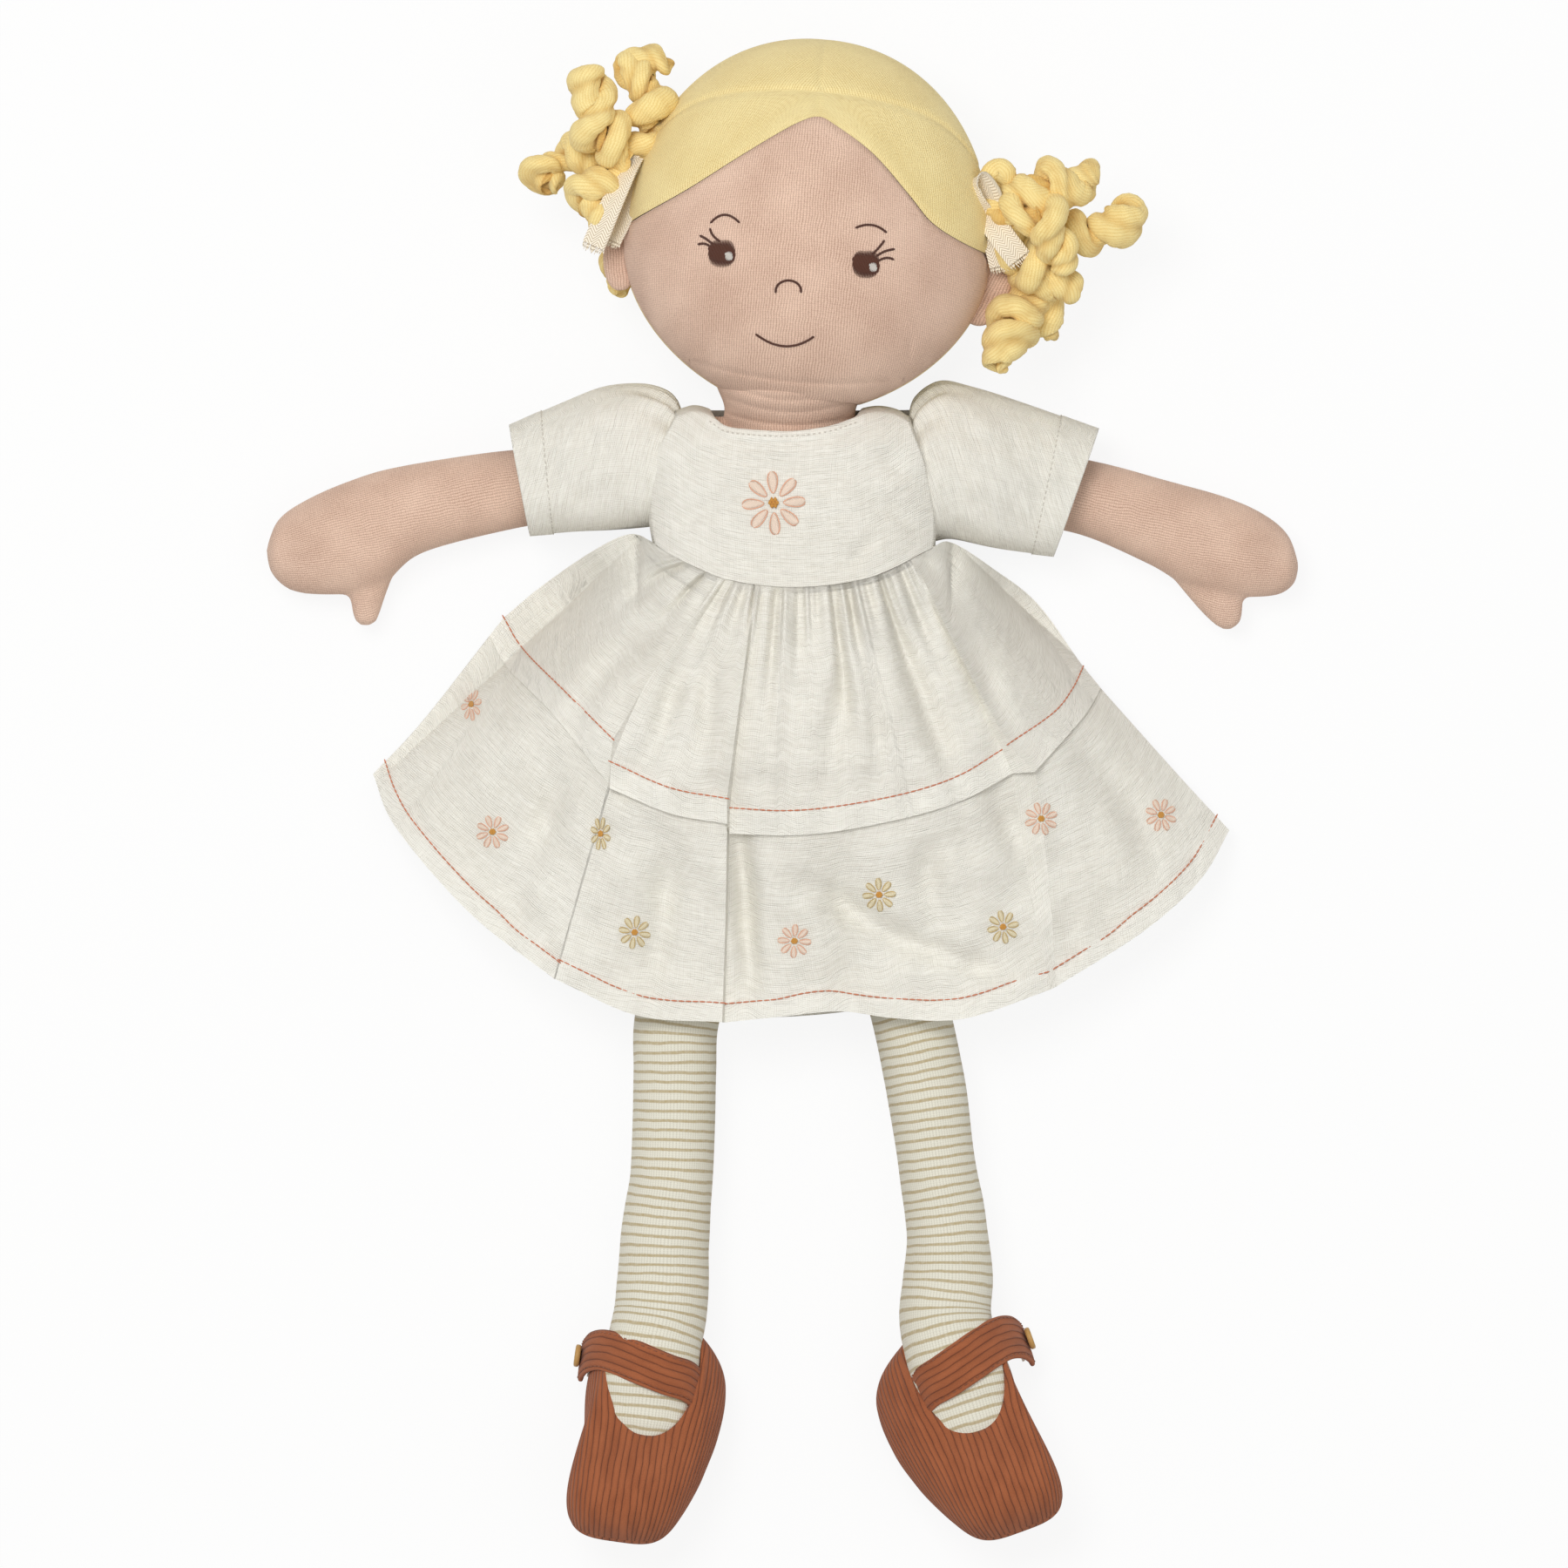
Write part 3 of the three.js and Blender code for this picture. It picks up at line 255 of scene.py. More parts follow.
class Shader:
    """A material's nodes, made one after another."""

    def __init__(self, name):
        self.material = bpy.data.materials.new(name)
        self.material.use_nodes = True
        self.tree = self.material.node_tree
        self.finish = self.tree.nodes["Principled BSDF"]
        self.out = self.tree.nodes["Material Output"]

    def give(self, socket, value):
        """Sets an input to a plain value, or links it to what another node puts out."""
        if isinstance(value, bpy.types.NodeSocket):
            self.tree.links.new(value, socket)
        else:
            socket.default_value = value

    def add(self, kind, values=None, **settings):
        node = self.tree.nodes.new(kind)
        for key, value in settings.items():
            setattr(node, key, value)
        for key, value in (values or {}).items():
            self.give(node.inputs[key], value)
        return node

    def math(self, operation, a, b=0.0):
        return self.add("ShaderNodeMath", {0: a, 1: b}, operation=operation).outputs[0]

    def plus(self, a, b):
        return self.math("ADD", a, b)

    def times(self, a, b):
        return self.math("MULTIPLY", a, b)

    def wave(self, length, pitch, power=1.0):
        """0 to 1 and back once in each pitch."""
        turned = self.times(length, math.pi / pitch)
        return self.math("POWER", self.math("ABSOLUTE", self.math("SINE", turned)), power)

    def lengths(self):
        uv = self.add("ShaderNodeUVMap", uv_map="cloth").outputs[0]
        split = self.add("ShaderNodeSeparateXYZ", {0: uv})
        return uv, split.outputs[0], split.outputs[1]

    def noise(self, vector, scale, detail=2.0, stretch=None):
        if stretch:
            vector = self.add("ShaderNodeMapping", {"Vector": vector, "Scale": stretch}).outputs[0]
        return self.add("ShaderNodeTexNoise", {"Vector": vector, "Scale": scale, "Detail": detail}).outputs[0]

    def mix(self, share, a, b):
        return self.add("ShaderNodeMix", {0: share, 6: a, 7: b}, data_type="RGBA").outputs[2]

    def range(self, value, low, high, to_low=0.0, to_high=1.0):
        return self.add("ShaderNodeMapRange", {0: value, 1: low, 2: high, 3: to_low, 4: to_high}).outputs[0]

    def done(self, colour, roughness=0.9, height=None, depth=0.1, sheen=0.15):
        settings = {
            "Base Color": colour, "Roughness": roughness, "Specular IOR Level": 0.15,
            "Sheen Weight": sheen, "Sheen Roughness": 0.6,
        }
        for key, value in settings.items():
            self.give(self.finish.inputs[key], value)
        if height is not None:
            bump = self.add("ShaderNodeBump", {"Height": height, "Distance": depth * MM, "Strength": 0.9})
            self.give(self.finish.inputs["Normal"], bump.outputs[0])
        return self.material

    def mix_in(self, share, other):
        """Puts out the finish with a share of another shader in it."""
        sockets = {0: share, 1: self.finish.outputs[0], 2: other.outputs[0]}
        both = self.add("ShaderNodeMixShader", sockets)
        self.give(self.out.inputs[0], both.outputs[0])
        return self.material


def colour(red, green, blue, share=1.0):
    """Linear colour from screen values of 0 to 255."""
    linear = [((v / 255 + 0.055) / 1.055) ** 2.4 if v > 10.3 else v / 255 / 12.92 for v in (red, green, blue)]
    return [v * share for v in linear] + [1.0]


def jersey(name, light, dark, wale=0.8, course=0.64, crease_shade=None):
    """Fine knitted cotton: upright ribs of small V stitches, with a pinhole beside each. A last colour, if
    given, is painted shade, mixed in where the piece's crease value is high.
    """
    s = Shader(name)
    uv, u, v = s.lengths()
    wander = s.times(s.noise(uv, 0.16, 2), 1.6)
    rib = s.wave(s.plus(u, wander), wale, 0.6)
    shifted = s.plus(v, s.times(rib, course * 0.6))
    stitch = s.wave(shifted, course, 0.6)
    fuzz = s.noise(uv, 1.5, 3)
    knit = s.plus(s.times(rib, 0.6), s.times(stitch, 0.4))
    height = s.plus(knit, s.times(fuzz, 0.7))
    cloud = s.noise(uv, 0.045, 3)
    tone = s.plus(s.range(knit, 0.3, 0.95, 0.0, 0.72), s.range(fuzz, 0.3, 0.7, 0.0, 0.28))
    tone = s.plus(tone, s.range(cloud, 0.35, 0.65, -0.14, 0.14))
    shade = s.mix(tone, dark, light)
    if crease_shade:
        # Painted shade: the knit is mixed towards the shade colour where the piece's crease value is high
        crease_amount = s.add("ShaderNodeAttribute", attribute_name="crease").outputs["Fac"]
        shade = s.mix(s.times(crease_amount, 0.75), shade, crease_shade)
    return s.done(shade, 0.95, height, 0.15, 0.12)


def linen(name, light, dark):
    """Plain weave of uneven threads, with slubs that run on for a centimetre or two."""
    s = Shader(name)
    uv, u, v = s.lengths()
    warp = s.wave(s.plus(u, s.times(s.noise(uv, 0.12, 2), 1.5)), 0.62, 0.6)
    weft = s.wave(s.plus(v, s.times(s.noise(uv, 0.1, 2), 1.5)), 0.56, 0.6)
    uneven = s.noise(uv, 1.0, 2, (0.25, 2.6, 1))
    slub = s.noise(uv, 1.0, 2, (0.05, 2.2, 1))
    ridge = s.noise(uv, 1.0, 2, (2.4, 0.07, 1))
    slubs = s.plus(s.range(slub, 0.42, 0.72, 0, 0.7), s.range(ridge, 0.42, 0.72, 0, 0.4))
    slubs = s.plus(slubs, s.range(uneven, 0.32, 0.68, 0, 0.6))
    weave = s.plus(s.times(warp, 0.6), s.times(weft, 0.75))
    height = s.plus(weave, slubs)
    tone = s.plus(s.range(height, 0.5, 2.0, 0.0, 0.95), s.range(s.noise(uv, 0.03, 2), 0.3, 0.7, -0.12, 0.12))
    twice = s.add("ShaderNodeAttribute", attribute_name="double").outputs["Fac"]
    tone = s.plus(tone, s.times(twice, 0.18))
    s.done(s.mix(tone, dark, light), 0.92, height, 0.14, 0.05)
    return s.mix_in(0.1, s.add("ShaderNodeBsdfTranslucent", {"Color": light}))


def striped(name, light, dark, line, pitch=2.73, thick=0.8):
    s = Shader(name)
    uv, u, v = s.lengths()
    rib = s.wave(u, 0.8, 0.7)
    stitch = s.wave(s.plus(v, s.times(rib, 0.3)), 0.6, 0.8)
    height = s.plus(s.times(rib, 0.6), s.times(stitch, 0.4))
    wander = s.times(s.noise(uv, 0.12, 2), 0.9)
    step = s.math("PINGPONG", s.plus(s.plus(v, wander), 500.0), pitch / 2)
    on_line = s.range(step, thick / 2 - 0.1, thick / 2 + 0.14, 1.0, 0.0)
    base = s.mix(s.range(height, 0.1, 0.9), dark, light)
    faded = s.times(on_line, s.range(s.noise(uv, 1.3, 2), 0.3, 0.7, 0.7, 1.0))
    return s.done(s.mix(faded, base, line), 0.93, height, 0.12)


def corduroy(name, light, dark, pitch=1.8):
    """Velvety ribs with narrow grooves between them."""
    s = Shader(name)
    uv, u, _ = s.lengths()
    rib = s.wave(s.plus(u, s.noise(uv, 0.1, 2)), pitch, 0.55)
    pile = s.noise(uv, 3.2, 3)
    brushed = s.noise(uv, 1.0, 2, (0.25, 0.08, 1))
    tone = s.plus(s.range(rib, 0.08, 0.6, 0.0, 0.8), s.range(pile, 0.3, 0.7, -0.16, 0.16))
    tone = s.plus(tone, s.range(brushed, 0.35, 0.65, -0.12, 0.22))
    height = s.plus(rib, s.times(pile, 0.12))
    return s.done(s.mix(tone, dark, light), 0.95, height, 0.5, 0.1)


def herringbone(name, light, dark):
    s = Shader(name)
    _, u, v = s.lengths()
    zigzag = s.math("PINGPONG", s.plus(u, 100.0), 1.7)
    slant = s.plus(v, s.times(zigzag, 1.2))
    twill = s.wave(slant, 0.95, 0.8)
    return s.done(s.mix(s.range(twill, 0.1, 0.9), dark, light), 0.9, twill, 0.14, 0.1)


def thread(name, tone):
    s = Shader(name)
    _, u, v = s.lengths()
    ply = s.wave(s.plus(u, v), 0.35, 0.8)
    dark = [c * 0.62 for c in tone[:3]] + [1.0]
    return s.done(s.mix(ply, dark, tone), 0.65, ply, 0.05, 0.2)


SKIN = jersey("skin_jersey", colour(238, 207, 186), colour(176, 138, 118))
HAIR = jersey("hair_jersey", colour(252, 236, 178), colour(214, 184, 116))
# The curls' last colour is painted shade, for their creases and the inner sides of their coils
CURL = jersey("curl_jersey", colour(252, 232, 166), colour(236, 204, 126), 0.9, 0.75, colour(210, 160, 74))
LINEN = linen("dress_linen", colour(255, 253, 244), colour(227, 222, 209))
STRIPES = striped("striped_jersey", colour(231, 228, 213), colour(206, 201, 184), colour(184, 167, 130))
CORD = corduroy("rust_corduroy", colour(164, 96, 62), colour(112, 58, 35), 2.1)
TAPE = herringbone("cotton_tape", colour(252, 242, 222), colour(196, 176, 146))
BROWN = thread("brown_thread", colour(92, 50, 32))
WHITE = thread("pale_thread", colour(222, 216, 208))
PEACH = thread("peach_thread", colour(246, 190, 160))
PALE_PEACH = thread("pale_peach_thread", colour(254, 234, 216))
CREAM = thread("straw_thread", colour(214, 186, 124))
PALE_CREAM = thread("pale_cream_thread", colour(246, 234, 200))
OCHRE = thread("ochre_thread", colour(222, 160, 72))
ORANGE = thread("orange_thread", colour(236, 144, 104))
SEWING = thread("sewing_thread", colour(238, 232, 220))
RUST = thread("rust_thread", colour(160, 92, 58))
BONE = Shader("button").done(colour(190, 150, 92), 0.35, None, 0, 0)


# Stitches along a line


def stitch_nodes():
    tree = bpy.data.node_groups.new("running_stitch", "GeometryNodeTree")
    face = tree.interface
    face.new_socket("Geometry", in_out="INPUT", socket_type="NodeSocketGeometry")
    sockets = {}
    for label in ("Spacing", "Length", "Thickness", "Thread"):
        kind = "Material" if label == "Thread" else "Float"
        socket = face.new_socket(label, in_out="INPUT", socket_type=f"NodeSocket{kind}")
        sockets[label] = socket.identifier
    face.new_socket("Geometry", in_out="OUTPUT", socket_type="NodeSocketGeometry")
    new, link = tree.nodes.new, tree.links.new
    given, made = new("NodeGroupInput"), new("NodeGroupOutput")
    line, places = new("GeometryNodeMeshToCurve"), new("GeometryNodeCurveToPoints")
    places.mode = "LENGTH"
    link(given.outputs[0], line.inputs[0])
    link(line.outputs[0], places.inputs[0])
    link(given.outputs["Spacing"], places.inputs["Length"])
    one = new("GeometryNodeMeshUVSphere")
    one.inputs["Segments"].default_value = 8
    one.inputs["Rings"].default_value = 6
    turned = new("FunctionNodeAlignRotationToVector")
    turned.axis = "X"
    link(places.outputs["Tangent"], turned.inputs["Vector"])
    size = new("ShaderNodeCombineXYZ")
    link(given.outputs["Length"], size.inputs[0])
    link(given.outputs["Thickness"], size.inputs[1])
    link(given.outputs["Thickness"], size.inputs[2])
    put = new("GeometryNodeInstanceOnPoints")
    link(places.outputs["Points"], put.inputs["Points"])
    link(one.outputs[0], put.inputs["Instance"])
    link(turned.outputs[0], put.inputs["Rotation"])
    link(size.outputs[0], put.inputs["Scale"])
    real, paint = new("GeometryNodeRealizeInstances"), new("GeometryNodeSetMaterial")
    link(put.outputs[0], real.inputs[0])
    link(real.outputs[0], paint.inputs[0])
    link(given.outputs["Thread"], paint.inputs["Material"])
    link(paint.outputs[0], made.inputs[0])
    return tree, sockets


STITCH_TREE, STITCH_SOCKETS = stitch_nodes()


def stitches(name, lines, thread_material, spacing=2.0, length=1.5, thickness=0.4, body=None):
    """A row of stitches along each line, as one plain mesh."""
    corners, edges = [], []
    for line in lines:
        first = len(corners)
        corners += (np.asarray(line, float) * MM).tolist()
        edges += [(i, i + 1) for i in range(first, len(corners) - 1)]
    mesh = bpy.data.meshes.new(name)
    mesh.from_pydata(corners, edges, [])
    source = placed(name + "_line", mesh)
    modifier = source.modifiers.new("stitches", "NODES")
    modifier.node_group = STITCH_TREE
    modifier[STITCH_SOCKETS["Spacing"]] = spacing * MM
    modifier[STITCH_SOCKETS["Length"]] = length / 2 * MM
    modifier[STITCH_SOCKETS["Thickness"]] = thickness / 2 * MM
    modifier[STITCH_SOCKETS["Thread"]] = thread_material
    bpy.context.view_layer.update()
    shown = source.evaluated_get(bpy.context.evaluated_depsgraph_get())
    made = bpy.data.meshes.new_from_object(shown)
    made.name = name
    source.modifiers.clear()
    bpy.data.objects.remove(source)
    if not made.uv_layers.get("cloth"):
        made.uv_layers.new(name="cloth")
    shade_smooth(made)
    piece = placed(name, made)
    if body:
        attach(piece, body)
    return piece


def inside_spans(outline, angle, pitch):
    """Parallel spans that fill an outline, for satin stitch."""
    turn = np.array([[math.cos(angle), math.sin(angle)], [-math.sin(angle), math.cos(angle)]])
    shape = np.asarray(outline, float) @ turn.T
    spans = []
    for y in np.arange(shape[:, 1].min() + pitch / 2, shape[:, 1].max(), pitch):
        cuts = []
        for (x0, y0), (x1, y1) in zip(shape, np.roll(shape, -1, axis=0)):
            if (y0 > y) != (y1 > y):
                cuts.append(x0 + (x1 - x0) * (y - y0) / (y1 - y0))
        cuts.sort()
        for a, b in zip(cuts[::2], cuts[1::2]):
            if b - a > 0.25:
                spans.append(np.stack([np.linspace(a, b, 5), np.full(5, y)], 1) @ turn)
    return spans


def satin(name, outlines, angle, thread_material, lay, body, pitch=0.34, lift=0.2):
    """Outlines filled with satin stitch, at one angle or at one for each."""
    lines = []
    for outline, lean in zip(outlines, np.broadcast_to(angle, len(outlines))):
        for span in inside_spans(outline, lean, pitch):
            line = lay(span, lift)
            line[1:-1, 2] += 0.12
            lines.append(line)
    return threads(name, lines, pitch * 0.62, thread_material, body)


# The body's middle across and in height, and its half width
BODY_MIDDLE, BODY_LEVEL, BODY_HALF_WIDTH = 3.3, 25.5, 36.5

# Head

CHIN = np.array([3.26, 110.2])
LEAN = math.radians(5)
HEAD_HALF_WIDTH, HEAD_LENGTH, HEAD_HALF_DEPTH, HEAD_WIDEST = 51.3, 100.8, 38.2, 40.0
HEAD_MIDDLE, HEAD_POWER = 38.0, 2.15


def head_share(height):
    above = height > HEAD_WIDEST
    far = np.abs(height - HEAD_WIDEST) / np.where(above, HEAD_LENGTH - HEAD_WIDEST, HEAD_WIDEST * 1.1)
    power = np.where(above, 2.12, 1.8)
    return np.maximum(1 - np.minimum(far, 1) ** power, 0) ** (1 / power)


def head_points(turn, height, grow=0.0):
    """Points of the head: turn 0 is its left side, 90 the face, 180 its right side, 270 the back."""
    share = head_share(height)
    angle = np.radians(turn)
    x = (HEAD_HALF_WIDTH * share + grow) * bend(np.cos(angle), HEAD_POWER)
    z = HEAD_MIDDLE + (HEAD_HALF_DEPTH * share**0.88 + grow) * bend(np.sin(angle), HEAD_POWER)
    # Groove of the two short cheek darts, and of the seams under the chin
    for dart, low, high in ((31.0, 12.5, 19.5), (-33.0, 15.0, 21.5)):
        groove = hill(x - dart, 0.9) * smooth_step(low - 2, low + 2, height)
        groove = groove * (1 - smooth_step(high - 2, high + 2, height))
        z = z - 0.55 * groove * (z > HEAD_MIDDLE)
    under = hill(height - 4.2 - 0.004 * x**2, 0.8) * (np.abs(x) < 30) * (z > HEAD_MIDDLE)
    z = np.maximum(z - 0.6 * under, 0.2)
    return on_head(x, height, z)


def on_head(x, height, z):
    """From the head's own frame to the part's."""
    across = CHIN[0] + x * math.cos(LEAN) + height * math.sin(LEAN)
    along = CHIN[1] - x * math.sin(LEAN) + height * math.cos(LEAN)
    return np.stack(np.broadcast_arrays(across, along, z), -1)


HAIRLINE = smooth_line([(-60, 39), (-48, 46.4), (-35, 54.6), (-21, 64.9), (-10, 72.8), (-4, 76.5),
                        (0, 77.8), (4, 76.4), (16, 69.0), (27, 58.6),
                        (34, 51.6), (42, 47.4), (51, 44.6), (60, 43)], 300)


def hairline(x):
    return np.interp(x, HAIRLINE[:, 0], HAIRLINE[:, 1])


def crown_seam(x):
    return 84.8 - 3.2 * (np.abs(x) / 31) ** 2 - 3.4 * (np.abs(x) / 39) ** 6


def seam_height(seam, turn):
    """Height at which a seam drawn on the front view crosses each turn."""
    height = np.full(np.shape(turn), 60.0)
    for _ in range(60):
        x = HEAD_HALF_WIDTH * head_share(height) * bend(np.cos(np.radians(turn)), HEAD_POWER)
        height = 0.7 * height + 0.3 * np.minimum(seam(x), HEAD_LENGTH - 2)
    return height


def head_panel(turns, low, high, rows, grow, seams):
    """Grid of one panel between two seams, pinched in where it is sewn."""
    turn = np.linspace(*turns)
    low, high = np.broadcast_to(low, turn.shape), np.broadcast_to(high, turn.shape)
    t = np.linspace(0, 1, rows)
    if high.max() > HEAD_LENGTH - 1 or low.min() < 1:
        t = (1 - np.cos(np.linspace(0, np.pi, rows))) / 2
    height = low + (high - low) * t[:, None]
    reach = HEAD_HALF_WIDTH * head_share(height) * 1.2
    edge = np.full(height.shape, 99.0)
    if "low" in seams:
        edge = np.minimum(edge, height - low)
    if "high" in seams:
        edge = np.minimum(edge, high - height)
    if "start" in seams:
        edge = np.minimum(edge, np.radians(np.abs(turn - turn[0])) * reach)
    if "end" in seams:
        edge = np.minimum(edge, np.radians(np.abs(turn - turn[-1])) * reach)
    return head_points(turn[None], height, grow - 0.75 * hill(edge, 1.3))


turn_left, turn_right, turn_face = (0, 90, 110), (180, 90, 110), (0, 180, 230)


def between(turns, seam):
    return seam_height(seam, np.linspace(*turns))


face_grid = head_panel(turn_face, 0.0, between(turn_face, hairline), 190, 0.0, "high start end")
face = from_grid("face", face_grid, SKIN, "head")
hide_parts("head")
for side, turns, back in (("left", turn_left, (0, -90, 90)), ("right", turn_right, (180, 270, 90))):
    below, above = between(turns, hairline), between(turns, crown_seam)
    brow = head_panel(turns, below, above, 90, 0.35, "low high end start")
    front = from_grid(f"hair_front_{side}", brow, HAIR, "head")
    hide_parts(f"hair_front_{side}")
    crown = head_panel(turns, above, HEAD_LENGTH, 50, 0.35, "low end")
    nape = head_panel(back, 0.0, HEAD_LENGTH, 130, 0.2, "start end")
    rear = from_grids(f"hair_back_{side}", measured([crown, nape]), HAIR, "head")
    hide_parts(f"hair_back_{side}")

lay_face = on_surface([face])

# Ears: small flat pads, each folded a little where it is sewn in
# Middle, lean in degrees, fullest half width and half length
EARS = {"left": ((56.6, 139.5), -28, 8.8, 9.2), "right": ((-45.6, 148.4), 4, 6.0, 7.9)}
for side, (middle, lean, half_wide, half_long) in EARS.items():
    t = np.linspace(0, np.pi, 30)
    half = half_wide * np.sin(t) ** 0.8
    down = np.array([math.sin(math.radians(lean)), -math.cos(math.radians(lean))])
    line = np.array([[*(np.array(middle) + down * half_long * -math.cos(a)), HEAD_MIDDLE] for a in t])
    pad = tube(line, np.maximum(half * 0.75, 0.05), np.maximum(2.6 * np.sin(t) ** 0.7, 0.05), 36, 2.2)
    away = np.linalg.norm(pad[..., :2] - middle, axis=-1)
    pad[..., 2] -= 0.9 * hill(away, 3.5) * (pad[..., 2] > HEAD_MIDDLE)
    ear = from_grid(f"ear_{side}", pad, SKIN, "head")
    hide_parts(f"ear_{side}")

# Embroidered face


def oval(middle, wide, high, flat=0.0, count=40):
    a = np.linspace(0, 2 * np.pi, count, endpoint=False)
    x = wide / 2 * bend(np.cos(a), 2.5)
    y = high / 2 * bend(np.sin(a), 2.5)
    y = np.minimum(y, high / 2 * (1 - flat))
    return np.stack([middle[0] + x, middle[1] + y], 1)


EYES = ((-16.8, 149.7), (23.2, 146.6))
satin("eyes", [oval(m, 7.5, 7.9, 0.08) for m in EYES], math.radians(78), BROWN, lay_face, "head")
lights = [oval((m[0] + 2.0, m[1] - 0.9), 2.1, 2.6) for m in EYES]
satin("eye_lights", lights, math.radians(70), WHITE, lay_face, "head", lift=0.5)
features = [
    [(-20.0, 152.8), (-21.4, 153.6), (-22.9, 153.6)], [(-19.6, 153.8), (-21.2, 155.0), (-22.4, 155.7)],
    [(-17.8, 154.6), (-19.2, 155.9), (-19.9, 157.3)],
    [(25.4, 151.0), (26.9, 152.6), (28.0, 154.0)], [(26.6, 150.4), (28.4, 151.4), (30.6, 152.0)],
    [(27.0, 149.0), (28.8, 149.6), (30.4, 149.4)],
    [(-19.5, 159.8), (-16.0, 161.6), (-12.3, 159.8)], [(20.9, 158.1), (24.9, 158.7), (28.5, 157.0)],
    [(-6.9, 128.3), (0.8, 125.3), (8.3, 127.6)],
]


def arc(first, middle, last, count=24):
    """Smooth arc through three places."""
    first, middle, last = (np.array(p, float) for p in (first, middle, last))
    pull = 2 * middle - (first + last) / 2
    t = np.linspace(0, 1, count)[:, None]
    return first * (1 - t) ** 2 + pull * 2 * t * (1 - t) + last * t**2


nose = [(1.7 - 3.5 * math.cos(a), 139.2 + 2.8 * math.sin(a)) for a in np.linspace(0, math.pi, 24)]
drawn = [arc(*f) - [0, 1.3] for f in features] + [nose]
drawn = [lay_face(line, 0.15) for line in drawn]
stitches("face_lines", drawn, BROWN, spacing=0.7, length=1.5, thickness=0.74, body="head")

# Neck

neck_y = np.linspace(91, 117, 79)
neck_front = 46.0 + 10.0 * smooth_step(101, 113, neck_y)
neck_half = 18.4 + 3.4 * smooth_step(107, 116, neck_y)
neck_middle = 1.8 + 0.12 * np.maximum(neck_y - 104, 0)
NECK_BACK = 10.4
round_neck = angles_round(90)
neck_grid = np.stack([
    neck_middle[:, None] + neck_half[:, None] * bend(np.cos(round_neck), HEAD_POWER),
    neck_y[:, None] + 0 * round_neck,
    ((neck_front + NECK_BACK) / 2)[:, None]
    + ((neck_front - NECK_BACK) / 2)[:, None] * bend(np.sin(round_neck), HEAD_POWER),
], -1)
# Creases across the neck: their height in the middle, and how they curve up to the sides
for crease, curve in ((102.6, 0.010), (106.2, 0.012), (109.4, 0.013)):
    low = crease + curve * (neck_grid[..., 0] - BODY_MIDDLE) ** 2
    neck_grid[..., 2] -= 0.55 * hill(neck_grid[..., 1] - low, 0.7) * smooth_step(28, 36, neck_grid[..., 2])
neck = from_grid("neck", neck_grid, SKIN, None)
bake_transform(neck)
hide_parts("neck")

# Torso, under the dress


def trunk_depth(y, full):
    shoulder = rounded(np.maximum(106.5 - y, 0.4) / 20)
    return full * shoulder * (0.1 + 0.9 * smooth_step(-10, 14, y))


trunk_y = np.concatenate([np.linspace(-9.6, 80, 30), np.linspace(82, 105.4, 24)])
trunk_wide = 36 * (0.72 + 0.28 * rounded((106.6 - trunk_y) / 20))
trunk_line = np.stack([np.full(54, BODY_MIDDLE), trunk_y, np.full(54, BODY_LEVEL)], 1)
trunk = tube(trunk_line, trunk_wide, trunk_depth(trunk_y, 21.6), 80, 2.6)
top, bottom = (trunk[[row]].mean(1, keepdims=True).repeat(81, 1) for row in (0, -1))
trunk = np.vstack([top, trunk, bottom])
trunk[..., 2] = np.maximum(trunk[..., 2], 2.5)
torso = from_grid("torso", trunk, SKIN, "torso")
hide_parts("torso")

# Arms


def between_lines(top, bottom, depths, mids, rows, columns=56, power=2.25):
    """Grid round a limb whose upper and lower outlines are known in plan."""
    a, b = smooth_line(top, rows), smooth_line(bottom, rows)
    t = np.linspace(0, 1, rows)
    middle = np.concatenate([(a + b) / 2, profile(mids, t)[:, None]], 1)
    half = np.concatenate([(a - b) / 2, np.zeros((rows, 1))], 1)
    angle = angles_round(columns)
    y = bend(np.cos(angle), power)[None, :, None]
    z = bend(np.sin(angle), power)[None, :] * profile(depths, t)[:, None]
    points = middle[:, None] + half[:, None] * y
    points[..., 2] += z
    points[..., 2] = np.maximum(points[..., 2], 0.2)
    return points


# Upper and lower outline of each arm with its mitten, and inner and outer outline of its thumb
ARMS = {
    "right": (
        [(-36, 97.5), (-60, 97), (-79.1, 96.2), (-107.9, 91.8), (-121.6, 87.9), (-133.8, 82.6),
         (-141.8, 77.0), (-145.3, 69.0)],
        [(-36, 79), (-60, 76.5), (-76, 74.2), (-101.1, 67.6), (-111, 60.0), (-120, 56.2), (-136.3, 56.4),
         (-143.4, 61.2), (-145.3, 67.4)],
        [(-107.5, 67), (-111.6, 56.0), (-114.2, 48.6), (-116.6, 46.8)],
        [(-123.5, 64), (-121.6, 54.5), (-120.6, 49.0), (-118.4, 46.8)],
    ),
    "left": (
        [(43, 97.5), (66, 97), (88.9, 93.1), (107.9, 88.0), (125.0, 83.2), (135.8, 78.3), (142.4, 72.6),
         (145.4, 64.8)],
        [(43, 77), (66, 75.5), (84.0, 72.6), (103.1, 64.4), (112, 59.4), (124, 55.6), (137.9, 55.4),
         (143.8, 58.4), (145.4, 63.0)],
        [(106.5, 65), (113.5, 56.2), (119.4, 49.6), (124.2, 45.6)],
        [(130.6, 63), (129.8, 54.0), (129.2, 48.4), (126.0, 45.6)],
    ),
}


